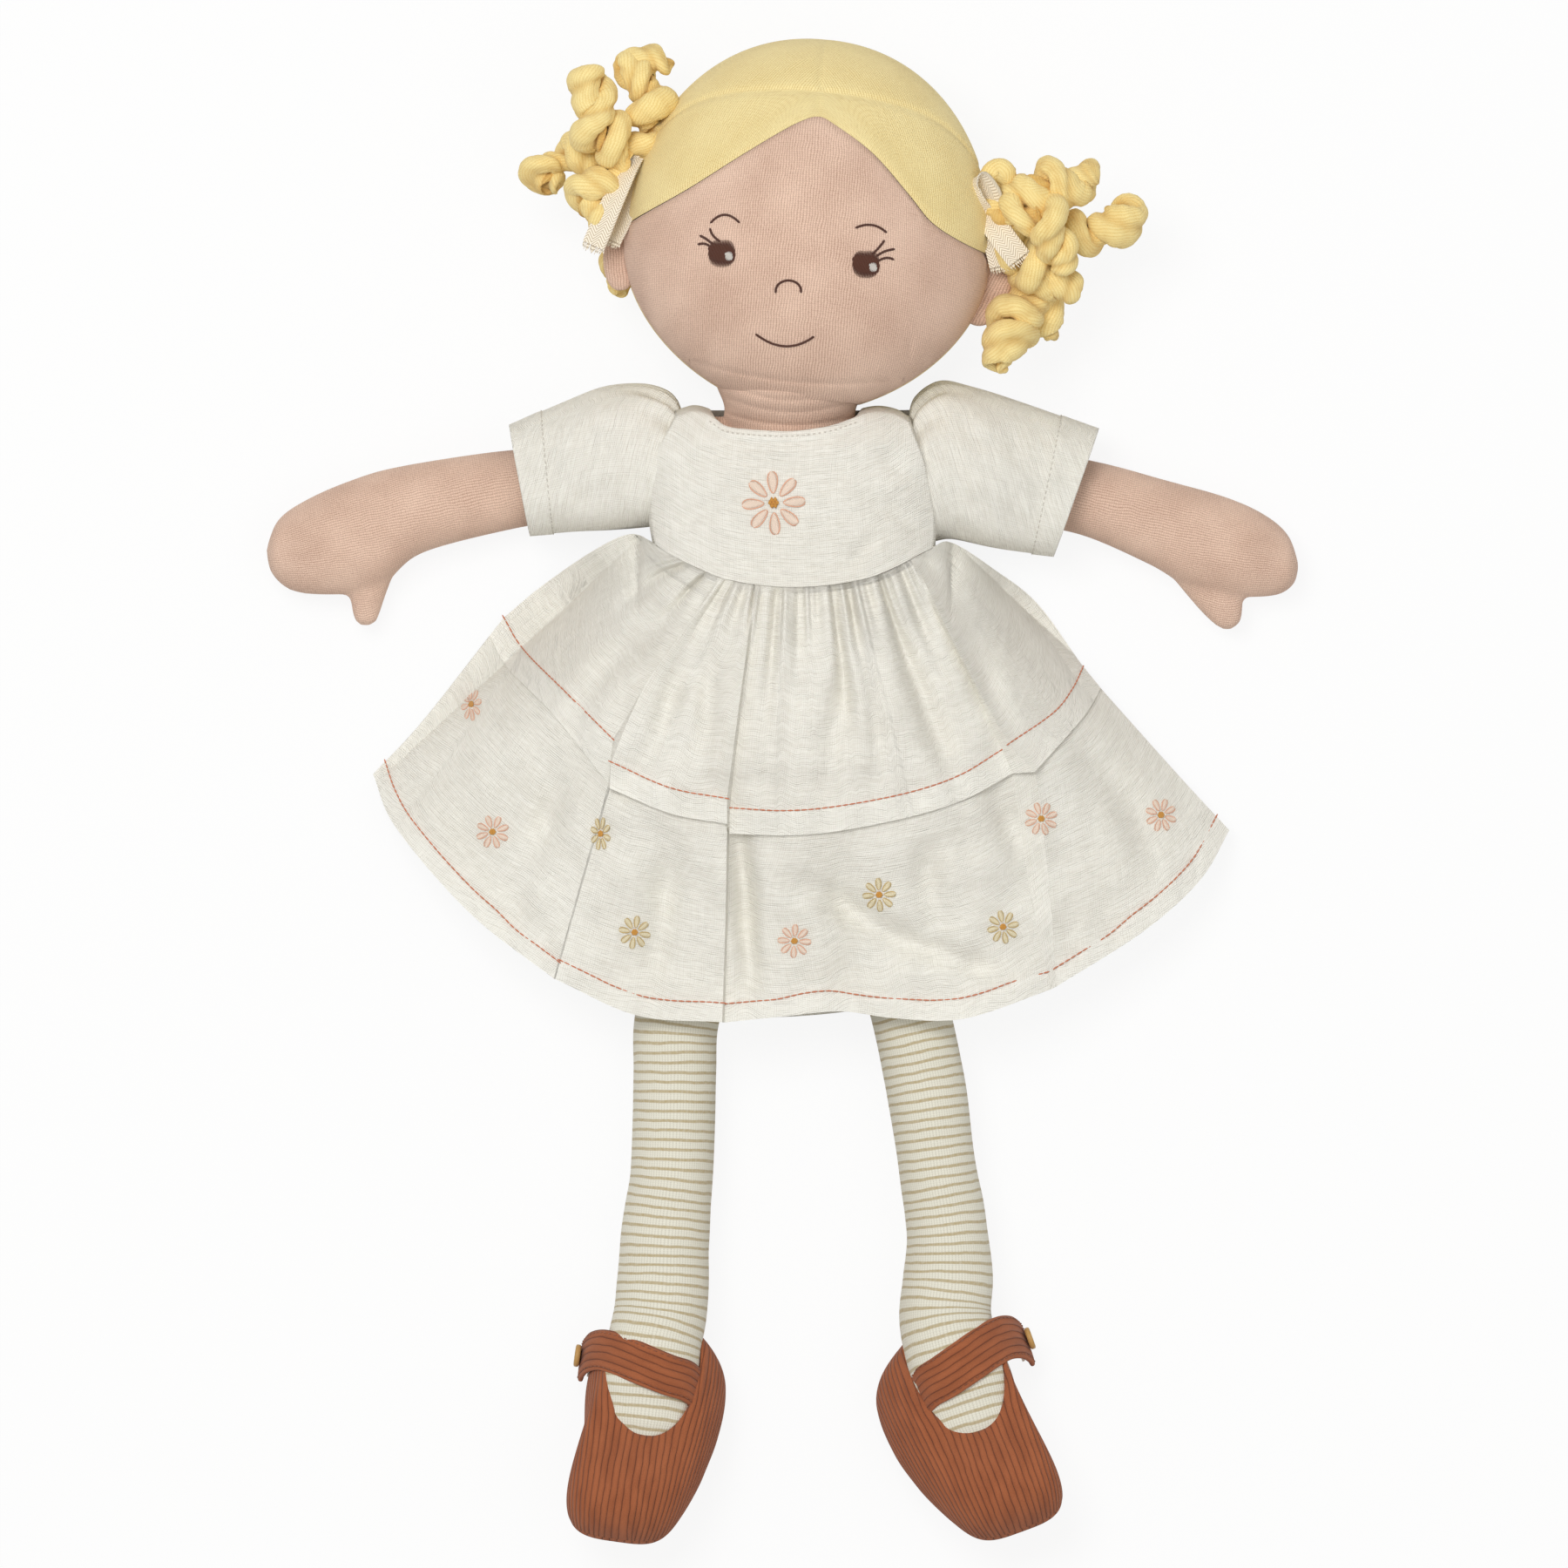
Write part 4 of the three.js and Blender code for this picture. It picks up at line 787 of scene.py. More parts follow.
def fused(piece, voxel):
    """Melts overlapping parts of a stuffed piece into one skin."""
    modifier = piece.modifiers.new("melt", "REMESH")
    modifier.mode = "VOXEL"
    modifier.voxel_size = voxel * MM
    soften = piece.modifiers.new("soften", "SMOOTH")
    soften.factor = 0.5
    soften.iterations = 6
    bpy.context.view_layer.update()
    shown = piece.evaluated_get(bpy.context.evaluated_depsgraph_get())
    made = bpy.data.meshes.new_from_object(shown)
    piece.modifiers.clear()
    old, material = piece.data, piece.data.materials[0]
    piece.data = made
    bpy.data.meshes.remove(old)
    made.materials.clear()
    made.materials.append(material)
    shade_smooth(made)


def lengths_along(piece, start, end):
    """Cloth lengths of a limb, from how far each corner lies along it and round it."""
    mesh = piece.data
    if not mesh.uv_layers.get("cloth"):
        mesh.uv_layers.new(name="cloth")
    co = np.array([v.co for v in mesh.vertices]) / MM
    start, end = np.array(start, float), np.array(end, float)
    ahead = (end - start) / np.linalg.norm(end - start)
    rel = co - start
    along = rel @ ahead
    side = np.cross(ahead, [0, 0, 1.0])
    across = rel @ side
    round_it = across + 0.8 * (24 - co[:, 2]) * np.tanh(across / 6)
    corner = np.array([loop.vertex_index for loop in mesh.loops])
    lengths = np.stack([round_it[corner], along[corner]], 1)
    mesh.uv_layers["cloth"].data.foreach_set("uv", lengths.ravel())


ARM_DEPTHS = [(0, 9), (0.3, 11.4), (0.62, 11.2), (0.8, 10.6), (0.93, 8.2), (0.985, 4.2), (1, 0.6)]
THUMB_DEPTHS = [(0, 7), (0.5, 5.2), (0.85, 3.8), (1, 0.5)]
for side, (top, bottom, inner, outer) in ARMS.items():
    arm = between_lines(top, bottom, ARM_DEPTHS, [(0, 13), (0.5, 12.6), (1, 10.8)], 90)
    thumb = between_lines(inner, outer, THUMB_DEPTHS, [(0, 10.8), (1, 10.2)], 26, 28)
    close_ends(arm)
    close_ends(thumb)
    piece = from_grids(f"arm_{side}", measured([arm, thumb]), SKIN)
    fused(piece, 1.1)
    sign = 1 if side == "left" else -1
    lengths_along(piece, (sign * 40, 88, 12), (sign * 140, 68, 12))
    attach(piece, f"arm_{side}")
    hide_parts(f"arm_{side}")

# Legs and feet

# Middle line of each leg and foot, and its half widths along that line
LEGS = {
    "right": (
        [(-14.7, -10, 25.4), (-17, -22, 19), (-24, -44, 15.6), (-29.6, -63.5, 15.4), (-30.2, -78.1, 15.8),
         (-30.5, -92.8, 16.2), (-31.1, -107.4, 16.8),
         (-32.2, -117.2, 17.0), (-33.1, -127, 17.4), (-33.5, -136.8, 18.0), (-34.3, -146.5, 19.0),
         (-36.0, -155, 20.8), (-37.6, -166, 22.5), (-38.6, -175, 24.0), (-39.4, -182, 24.6),
         (-40, -188, 25)],
        [(0, 6), (0.07, 11), (0.28, 11.9), (0.42, 11.6), (0.55, 11.6), (0.66, 12.5), (0.74, 13.0),
         (0.8, 13.1), (0.87, 14.0), (0.93, 13.2), (0.97, 10.0), (1, 5)],
    ),
    "left": (
        [(21.3, -10, 25.4), (24, -22, 19), (31, -44, 15.6), (36.4, -63.5, 15.4), (39.5, -78.1, 15.8),
         (41.2, -87.9, 16.2), (43.9, -107.4, 16.8),
         (45.6, -117.2, 17.0), (46.6, -127, 17.4), (46.6, -136.8, 18.0), (45.8, -146.5, 19.0),
         (47.2, -155, 20.8), (50.6, -166, 22.5), (53.4, -175, 24.0), (55.6, -182, 24.6), (57.6, -188, 25)],
        [(0, 6), (0.07, 11), (0.28, 11.1), (0.42, 11.2), (0.52, 10.8), (0.63, 11.3), (0.72, 12.7),
         (0.8, 13.1), (0.87, 14.0), (0.93, 13.2), (0.97, 10.0), (1, 5)],
    ),
}
LEG_DEPTHS = [(0, 2), (0.1, 9.6), (0.25, 12), (0.76, 12.4), (0.82, 11.5), (0.88, 10.5), (0.93, 9),
              (0.965, 6.6), (1, 3)]
for side, (route, wide) in LEGS.items():
    line = smooth_line(route, 150)
    t = np.linspace(0, 1, 150)
    leg = tube(line, profile(wide, t), profile(LEG_DEPTHS, t), 64, 2.2)
    close_ends(leg)
    girth = (np.linspace(0, 2 * np.pi, 65) - np.pi) * 12.0
    lengths = np.stack(np.broadcast_arrays(girth[None], way_along(line)[:, None]), 2)
    wrinkle = 0.28 * np.sin(t * 61 + 2)[:, None] * np.sin(np.linspace(0, 9, 65))[None]
    wrinkle = wrinkle * smooth_step(0.2, 0.4, t)[:, None]
    leg[..., 2] = np.maximum(leg[..., 2] + wrinkle, 1.4)
    piece = from_grid(f"leg_{side}", leg, STRIPES, f"leg_{side}", lengths)
    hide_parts(f"leg_{side}")

# Dress


def bodice_height(x, y):
    """Height of the cloth over the chest, at a place of the plan."""
    full = np.maximum(1 - np.abs((x - BODY_MIDDLE) / 43.6) ** 2.5, 0) ** (1 / 2.5)
    over = rounded(np.maximum(110.5 - y, 0.0) / 17)
    return BODY_LEVEL + 25.4 * full * (0.34 + 0.66 * over)


def body_height(x, y):
    """Lowest height of a cloth laid over the stuffed body and legs, falling away beside them."""
    away = np.abs(x - BODY_MIDDLE)
    full = np.maximum(1 - (away / BODY_HALF_WIDTH) ** 2.6, 0) ** 0.38
    trunk = BODY_LEVEL + 21.6 * full * smooth_step(-16, 10, y) - 1.5 * np.maximum(away - BODY_HALF_WIDTH, 0)
    trunk = trunk - 2.5 * np.maximum(-4 - y, 0)
    off = np.abs(np.abs(x - BODY_MIDDLE + 0.1 * np.minimum(y, 0)) - 31.5)
    legs = 14 + 13.5 * np.maximum(1 - (off / 13) ** 2.4, 0) ** 0.4
    legs = legs - 1.5 * np.maximum(off - 13, 0) - 1.5 * np.maximum(y + 6, 0)
    return np.maximum(np.maximum(trunk, legs), -20)


def softly_above(low, value, sharp):
    """The larger of two heights, with the corner between them rounded."""
    return low + np.logaddexp(0, (value - low) * sharp) / sharp


def cloth_creases(x, y, size, seed):
    """Soft irregular waves of a cloth that has been worn."""
    draw = np.random.default_rng(seed)
    total = np.zeros(np.shape(x))
    for _ in range(9):
        a = draw.uniform(0, np.pi)
        k = 2 * np.pi / draw.uniform(9, 34)
        p = draw.uniform(0, 6.28)
        along = x * math.cos(a) + y * math.sin(a)
        across = y * math.cos(a) - x * math.sin(a)
        total = total + np.sin(k * along + p + 0.8 * np.sin(k * 0.6 * across))
    return size * total / 5


def dents(x, y, folds):
    """Long soft valleys, each from one place of the plan to another, with its depth and half width."""
    total = np.zeros(np.shape(x))
    for (ax, ay), (bx, by), depth, wide in folds:
        dx, dy = bx - ax, by - ay
        s = np.clip(((x - ax) * dx + (y - ay) * dy) / (dx**2 + dy**2), 0, 1)
        away = np.hypot(x - ax - s * dx, y - ay - s * dy)
        total = total - depth * hill(away, wide) * (0.25 + 0.75 * np.sin(np.pi * s) ** 0.7)
    return total


def span(lines, columns):
    """Grid through lines of the same rows, joined smoothly across."""
    return np.stack([smooth_line(row, columns) for row in zip(*lines)])


# Upright lines of the bodice from the waist to the neck and shoulders, from its right side to its left
bodice_guides = [
    [(-35.4, 69.4), (-36.6, 78.0), (-36.4, 92.0), (-31.5, 101.5), (-29.5, 105.2)],
    [(-30.5, 66.2), (-31.5, 80.0), (-30.0, 95.0), (-27.0, 102.5), (-24.6, 106.4)],
    [(-23.9, 62.9), (-24.5, 80.0), (-22.5, 95.0), (-21.2, 101.5), (-19.6, 105.0)],
    [(-16.6, 59.9), (-16.2, 80.0), (-15.5, 92.0), (-15.2, 98.8), (-15.0, 102.2)],
    [(-7.3, 58.1), (-7.0, 80.0), (-6.8, 90.0), (-6.6, 97.0), (-6.4, 101.2)],
    [(3.3, 57.4), (3.3, 80.0), (3.3, 90.0), (3.3, 96.0), (3.3, 101.0)],
    [(14.0, 58.1), (13.6, 80.0), (13.4, 90.0), (13.3, 97.0), (13.2, 102.4)],
    [(24.0, 60.0), (23.4, 80.0), (22.0, 92.0), (21.6, 100.0), (21.4, 105.2)],
    [(31.5, 63.0), (31.0, 80.0), (28.8, 95.0), (27.6, 102.6), (26.8, 106.2)],
    [(37.5, 66.2), (37.2, 80.0), (34.6, 95.0), (32.8, 101.6), (31.8, 105.4)],
    [(42.0, 68.6), (42.2, 78.0), (39.6, 92.0), (36.8, 99.5), (35.4, 103.4)],
]
plan = span([smooth_line(guide, 70) for guide in bodice_guides], 200)
x, y = plan[..., 0], plan[..., 1]
edge = smooth_step(0, 7, np.minimum(y - plan[0, :, 1], 30))
chest_folds = [((-31, 74), (-16, 82), 0.9, 2.4), ((38, 74), (22, 84), 1.0, 2.6),
               ((-32, 84), (-20, 96), 0.8, 2.2), ((36, 88), (26, 96), 0.8, 2.2),
               ((-14, 68), (-6, 62), 0.7, 2.0), ((18, 62), (26, 72), 0.8, 2.2),
               ((-6, 90), (10, 94), 0.5, 2.6)]
relief = bodice_height(x, y) + cloth_creases(x, y, 0.6, 3) * edge
chest = np.stack([x, y, relief + 1.4 * dents(x, y, chest_folds) * edge], -1)
chest[..., 2] += 0.35 * (1 - smooth_step(0, 4.6, plan[-1, :, 1][None] - y))
# Turned in at the neck, and rolled over to the shoulder seam beside it
shoulder = smooth_step(18.0, 21.5, np.abs(plan[-1, :, 0] - 1.0))
roll = np.linspace(0, 1, 13)[1:, None]
turned_in = np.stack([
    plan[-1, :, 0] + 0 * roll,
    plan[-1, :, 1] + shoulder * 2.4 * np.sin(roll * np.pi / 2) - (1 - shoulder) * 4.0 * roll**2,
    chest[-1, :, 2] - shoulder * 20 * roll**1.4 - (1 - shoulder) * (0.9 * np.minimum(roll * 3, 1)),
], -1)
bound = (np.linalg.norm(plan - plan[-1][None], axis=-1) < 2.7) & (np.abs(x - 1.0) < 22)
chest[..., 2] += 0.3 * bound
chest = np.vstack([chest, turned_in])
bound = np.vstack([bound, np.zeros((12, 200))])
# Down each side to the side seam
side_drop = np.linspace(1, 0, 9)[None, :-1, None]
for edge_column, sign in ((chest[:, :1], -1), (chest[:, -1:], 1)):
    seam = edge_column + [sign * 0.4, 0, 0]
    seam[..., 2] = np.minimum(edge_column[..., 2], 24.5)
    bulge = [sign * 0.7, 0, 0] * np.sin(np.pi * side_drop)
    side_rows = edge_column + (seam - edge_column) * side_drop + bulge
    chest = np.concatenate([side_rows, chest] if sign < 0 else [chest, side_rows[:, ::-1]], 1)
bodice = from_grid("bodice_front", chest, LINEN, "torso")
mark(bodice, "double", np.pad(bound, ((0, 0), (8, 8))))
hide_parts("bodice_front")
declare_sheet([chest])

for side, sign in (("left", 1), ("right", -1)):
    a = np.radians(np.linspace(0, 90, 40))
    rows = np.linspace(58, 107.5, 50)
    wide = 39.6 * (0.72 + 0.28 * rounded((109 - rows) / 20))
    deep = trunk_depth(rows - 2, 25.6) + 0.6
    back = np.stack([
        BODY_MIDDLE + sign * wide[:, None] * bend(np.sin(a), 2.6),
        rows[:, None] + 0 * a,
        np.maximum(BODY_LEVEL - deep[:, None] * bend(np.cos(a), 2.6), 0.15),
    ], -1)
    half = from_grid(f"bodice_back_{side}", back, LINEN, "torso")
    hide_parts(f"bodice_back_{side}")
    declare_sheet([back])
    if side == "right":
        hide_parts("back_closure")

# Skirt

# The skirt spreads from a place above it, by this many degrees to each side
SKIRT_APEX, SKIRT_SPREAD = 111.4, 47.5


def skirt_place(x, y):
    """Distance from the skirt's apex, and turn from its middle: 1 and -1 are the side seams."""
    across, down = x - BODY_MIDDLE, SKIRT_APEX - y
    radius = np.linalg.norm(np.stack([across, down], -1), axis=-1)
    return radius, np.clip(np.degrees(np.arctan2(across, down)) / SKIRT_SPREAD, -1, 1)


def seam_level(radius):
    """Height of the side seams, down to the floor beside the legs."""
    return BODY_LEVEL * (1 - smooth_step(54, 92, radius))


def skirt_height(x, y):
    """Height of the skirt's front over the plan: over the body in the middle, down to the side seams."""
    radius, turn = skirt_place(x, y)
    crest = (1 - np.abs(turn) ** 3.0) ** 0.75
    low = seam_level(radius) + 1.6
    high = 51.5 + (36.5 - 51.5) * smooth_step(0.3, 1, (radius - 54) / 118)
    return low + (high - low) * crest, turn


# Guide lines of the skirt from its right side to its left, in sections between the standing folds:
# from the waist to the stitch line, then the tuck's edge, then the lower tier to the hem
SECTIONS = [
    [
        ([(-35.2, 69.4), (-42.5, 72.6), (-53.6, 67.8), (-67.8, 58.4), (-78.6, 49.4)], (-82.6, 44.4),
         [(-102.1, 19.6), (-115.6, 5.2)]),
        ([(-31.0, 66.6), (-45.5, 62.5), (-58.5, 53.0), (-73.0, 40.4)], (-77.6, 35.4),
         [(-95.0, 10.0), (-108.6, -10.0)]),
        ([(-24.4, 63.1), (-35.0, 54.0), (-47.0, 42.0), (-60.6, 28.1)], (-64.8, 22.6),
         [(-76.5, -6.0), (-87.2, -34.2)]),
        ([(-17.8, 60.2), (-27.0, 46.0), (-37.5, 31.0), (-47.2, 14.9)], (-48.6, 2.6),
         [(-56.0, -23.5), (-64.0, -52.0)]),
    ],
    [
        ([(-17.0, 60.0), (-27.5, 45.5), (-38.8, 29.0), (-47.8, 8.6)], (-48.2, 1.2),
         [(-55.5, -24.0), (-63.5, -52.2)]),
        ([(-12.4, 58.9), (-18.0, 45.0), (-25.5, 25.0), (-31.3, 1.4)], (-31.2, -5.8),
         [(-36.0, -34.0), (-40.5, -62.4)]),
        ([(-7.4, 58.1), (-9.6, 42.0), (-11.8, 26.0), (-15.4, -1.6)], (-15.4, -8.7),
         [(-15.9, -36.0), (-16.8, -64.2)]),
    ],
    [
        ([(-6.8, 58.0), (-9.0, 42.0), (-11.2, 26.0), (-14.7, -4.2)], (-14.8, -11.4),
         [(-15.3, -36.0), (-16.2, -64.3)]),
        ([(0.5, 57.5), (0.4, 42.0), (0.4, 20.0), (0.5, -5.0)], (0.6, -11.9), [(0.3, -38.0), (0.0, -62.6)]),
        ([(8.6, 57.6), (10.4, 42.0), (12.6, 20.0), (15.1, -3.8)], (15.6, -10.7),
         [(16.0, -36.0), (16.4, -61.2)]),
        ([(18.0, 58.7), (22.0, 44.0), (28.5, 22.0), (34.7, -0.1)], (35.8, -6.7),
         [(33.5, -35.0), (32.0, -63.2)]),
        ([(27.4, 61.1), (33.0, 46.0), (41.5, 25.0), (49.3, 4.8)], (51.0, -1.8),
         [(51.5, -32.0), (51.0, -63.2)]),
        ([(35.8, 65.2), (43.5, 49.0), (53.0, 30.5), (61.4, 12.0)], (64.4, 5.4),
         [(69.0, -25.0), (75.0, -55.2)]),
    ],
    [
        ([(36.6, 65.6), (44.2, 49.5), (53.6, 31.0), (63.2, 13.6)], (70.6, 5.8),
         [(74.5, -24.0), (77.0, -54.2)]),
        ([(39.6, 67.2), (51.0, 53.0), (63.0, 38.0), (76.0, 22.4)], (80.6, 16.7),
         [(91.0, -11.0), (101.2, -39.0)]),
        ([(41.0, 68.3), (55.0, 58.0), (68.5, 44.5), (81.6, 29.2)], (86.2, 23.4),
         [(102.0, -0.5), (117.4, -24.6)]),
        ([(42.0, 68.8), (47.5, 70.2), (58.8, 63.4), (71.8, 53.6), (84.9, 35.6)], (89.8, 29.5),
         [(111.6, 5.0), (126.0, -10.6)]),
    ],
]
# How high each section stands at its two sides
RISES = [(0.0, 0.0), (2.8, 3.2), (0.0, 0.0), (3.8, 0.0)]
SECTION_COLUMNS = (120, 70, 150, 90)
waist_pleats = np.random.default_rng(5)
# Two draws for each gather; the second is its size
PLEATS = [(waist_pleats.uniform(-0.6, 0.6), waist_pleats.uniform(0.5, 1.4)) for _ in range(40)]
# Deeper gathers: place along the waist, how far they run down, and how deep they are
VALLEYS = ((-31, 30, 2.6), (-26.5, 52, 3.4), (-20.5, 44, 3.6), (-14.5, 30, 3.4), (-10.2, 20, 2.6),
           (-1.2, 56, 3.8), (4.6, 30, 3.4), (9.5, 20, 2.4),
           (14.2, 62, 4.2), (18.2, 34, 3.8), (23.0, 22, 2.4), (27.4, 58, 4.2), (32.8, 40, 3.8),
           (38.6, 52, 3.6))


def pleats(x, below):
    """Small gathers under the waist seam, and the longer folds that grow out of them."""
    place = x / 4.3 + 0.35 * np.sin(x * 0.9)
    number = np.floor(place)
    size = np.array([PLEATS[int(n) % 40][1] for n in number.ravel()]).reshape(number.shape)
    rise = smooth_step(-0.5, 2.0, below)
    gather = np.abs(np.sin(np.pi * (place - number))) ** 0.8 * size * 2.5
    gather = gather * (1 - smooth_step(3, 22, below)) * rise
    longer = 1.3 * np.cos(x / 9.7 * 2 * np.pi / 1.9 + 0.7 * np.sin(x / 7))
    longer = longer * smooth_step(2, 14, below) * (1 - smooth_step(34, 80, below))
    for at, reach, depth in VALLEYS:
        valley = hill(x - at + 0.02 * below, 1.15 + 0.012 * below)
        gather = gather - depth * valley * rise * (1 - smooth_step(reach * 0.25, reach, below))
    return gather + longer + 1.6 * smooth_step(2, 14, below)


UPPER_FOLDS = [((-46, 62), (-74, 34), 2.6, 4.5), ((-34, 54), (-58, 22), 2.6, 4.0),
               ((52, 46), (64, 14), 2.8, 4.5), ((54, 60), (80, 30), 2.4, 4.5),
               ((17, 36), (13, 2), 2.6, 3.4), ((25, 40), (27, 0), 2.2, 3.2), ((1, 38), (2, -2), 2.0, 3.8),
               ((-26, 40), (-38, 8), 2.4, 3.5),
               ((34, 44), (46, 8), 2.6, 3.6), ((-20, 40), (-22, 6), 1.8, 3.2)]
LOWER_FOLDS = [((-12.2, -8), (-8.5, -56), 4.6, 3.4), ((4, -24), (38, -44), 3.4, 4.2),
               ((34, -42), (62, -51), 3.0, 3.8), ((58, 4), (72, -26), 3.0, 4.5),
               ((-58, 8), (-74, -24), 3.0, 5.0), ((-84, 22), (-100, 2), 2.4, 5.0),
               ((-30, -10), (-36, -52), 2.8, 4.5), ((84, 14), (104, -14), 2.8, 5.0),
               ((-96, 4), (-70, -40), 1.8, 7.0), ((40, -12), (44, -40), 2.6, 5.0),
               ((16, -12), (20, -40), 2.0, 5.0)]


# Rows of the doubled cloth below the stitch line of the upper tier
TUCK_ROWS = 8
# Depth of the lower tier's hem, and the row of stitches in it
HEM, HEM_STITCH = 5.6, 5.4


def tier_lines(section, part, rows):
    """Guide lines of one section of a tier, each with the same rows."""
    lines = []
    for above, tuck, below in section:
        if part == "upper":
            # Rows above the stitch line keep their own share, so that the stitch lies along one row
            upright = smooth_line(above, 61)
            doubled = smooth_line([upright[-1], tuck], TUCK_ROWS + 1)[1:]
            lines.append(np.vstack([smooth_line(upright, rows - TUCK_ROWS), doubled]))
        else:
            lines.append(smooth_line(np.vstack([above[-1], tuck, *below]), rows))
    return lines


def from_hem(grid):
    """Distance in plan of each point from the last row of its column."""
    return np.linalg.norm(grid[..., :2] - grid[-1][None, :, :2], axis=-1)


def tier_section(part, number, plan, waist):
    """One section of a tier with its heights: over body and legs, in gathers and folds."""
    x, y = plan[..., 0], plan[..., 1]
    z, turn = skirt_height(x, y)
    below = np.linalg.norm(plan - waist, axis=-1)
    if part == "upper":
        chest_level = bodice_height(x, y)
        z = chest_level - 0.8 + (z - chest_level + 0.8) * smooth_step(0, 24, below)
    lowest = np.maximum(body_height(x, y) + 1.0, 0.6)
    lift = 3.6 * smooth_step(1, 9, below) + 1.0 * smooth_step(12, 30, below)
    clear = lowest + lift * (1 - turn**4)
    z = np.where(below > 1, softly_above(clear, z, 1.2), z)
    fade = 1 - np.abs(turn) ** 5
    z = z + pleats(np.broadcast_to(waist[:, 0], x.shape), below) * fade
    z = z + cloth_creases(x, y, 1.1, 11) * smooth_step(6, 30, below) * fade
    z = z + 1.6 * np.cos(turn * 15.0 + 0.6) * smooth_step(30, 120, below) * fade
    z = z + 1.45 * dents(x, y, UPPER_FOLDS if part == "upper" else LOWER_FOLDS) * fade
    # The two sides stand up in a fold, less and less towards the hem
    s = np.linspace(0, 1, plan.shape[1])[None]
    left, right = RISES[number]
    if part == "lower":
        low_down = smooth_step(75, 150, below)
        left = left * (1 - low_down) * (0.2 if number == 1 else 0.5)
        right = right * (1 - (0.35 if number == 1 else 1) * low_down)
    z = z + smooth_step(2, 18, below) * (left * np.exp(-s * 5) + right * np.exp(-(1 - s) * 5))
    z = softly_above(lowest, z, 4.0)
    if part == "lower":
        z = z - 1.0
        z = z + 0.35 * smooth_step(-HEM, -5.0, -from_hem(plan))
    else:
        z[-TUCK_ROWS:] += 0.3
    return np.stack([x, y, z], -1)


def tier(part, rows, waists=None):
    """Grids of one tier, section by section, and the folds' upright edges between them."""
    plans = []
    for section, columns in zip(SECTIONS, SECTION_COLUMNS):
        plans.append(span(tier_lines(section, part, rows), columns))
    waists = waists or [plan[0] for plan in plans]
    grids = [tier_section(part, i, plan, waist) for i, (plan, waist) in enumerate(zip(plans, waists))]
    return grids, [np.stack([a[:, -1], b[:, 0]], 1) for a, b in zip(grids, grids[1:])]


upper, upper_edges = tier("upper", 74)
lower, lower_edges = tier("lower", 70, [grid[0, :, :2] for grid in upper])


def bands(grids, edges, part):
    """1 where the cloth lies double, in the tuck and the hem."""
    made = []
    for i, grid in enumerate(grids):
        rows = np.zeros(grid.shape[:2])
        if part == "upper":
            rows[-TUCK_ROWS:] = 1
        else:
            rows[from_hem(grid) < HEM] = 1
        made.append(rows)
        if i < len(edges):
            made.append(np.zeros(edges[i].shape[:2]))
    return np.concatenate([m.ravel() for m in made])


def hang_with_skirt(piece):
    """Bakes a piece's placing into its mesh."""
    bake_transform(piece)


def one_cloth(grids, edges):
    """Cloth lengths that run on from one section to the next."""
    made, shift = [], 0.0
    for i, grid in enumerate(grids):
        lengths = cloth_lengths(grid, 0.0)
        lengths[..., 0] += shift
        made.append((grid, lengths))
        shift += float(lengths[len(grid) // 2, -1, 0] - lengths[len(grid) // 2, 0, 0])
        if i < len(edges):
            made.append((edges[i], cloth_lengths(edges[i])))
    return made


skirt_upper = from_grids("skirt_upper", one_cloth(upper, upper_edges), LINEN)
skirt_lower = from_grids("skirt_lower", one_cloth(lower, lower_edges), LINEN)
mark(skirt_upper, "double", bands(upper, upper_edges, "upper"))
mark(skirt_lower, "double", bands(lower, lower_edges, "lower"))
back_guides = []
for top, low in zip(upper, lower):
    for column in (0, top.shape[1] // 2, top.shape[1] - 1):
        near = smooth_line(top[::6, column, :2], 25)
        far = smooth_line(low[::6, column, :2], 36)
        back_guides.append(np.vstack([near[:-1], far]))
# The side edges, and the middle of each section between them
back_guides = [back_guides[0], *back_guides[1:-1:3], back_guides[-1]]
back_outline = span(back_guides, 140)
# Drawn in a little all round, under the front
middle_of_back = np.array([BODY_MIDDLE, 60.0])
out = back_outline - middle_of_back
reach = np.linalg.norm(out, axis=-1, keepdims=True)
back_outline = middle_of_back + out * (1 - 0.3 / np.maximum(reach, 20))
back_radius, back_turn = skirt_place(back_outline[..., 0], back_outline[..., 1])
back_turn = np.abs(back_turn)
back_z = 0.5 + seam_level(back_radius) * back_turn**7 + 1.1 * back_turn**8
back_grid = np.concatenate([back_outline, back_z[..., None]], -1)
skirt_back = from_grid("skirt_back", back_grid, LINEN)
for piece, nodes in (
    (skirt_upper, ["skirt_upper_front"]),
    (skirt_lower, ["skirt_lower_front"]),
    (skirt_back, ["skirt_upper_back", "skirt_lower_back"]),
):
    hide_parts(*nodes)
    hang_with_skirt(piece)
declare_sheet(upper + upper_edges)
declare_sheet(lower + lower_edges)
declare_sheet([back_grid])

# Stitched lines of the dress
lay_skirt = on_surface([skirt_upper, skirt_lower])
tuck_lines = [grid[-TUCK_ROWS - 1] + [0, 0, 0.12] for grid in upper]
hem_lines = []
for grid in lower:
    row = np.abs(from_hem(grid) - HEM_STITCH).argmin(0)
    line = grid[row, np.arange(grid.shape[1])]
    hem_lines.append(smooth_line(np.vstack([line[:-6:12], line[-1:]]), 120) + [0, 0, 0.3])
for name, lines in (("tuck_stitches", tuck_lines), ("hem_stitches", hem_lines)):
    hang_with_skirt(stitches(name, lines, ORANGE, spacing=1.95, length=2.0, thickness=0.44))

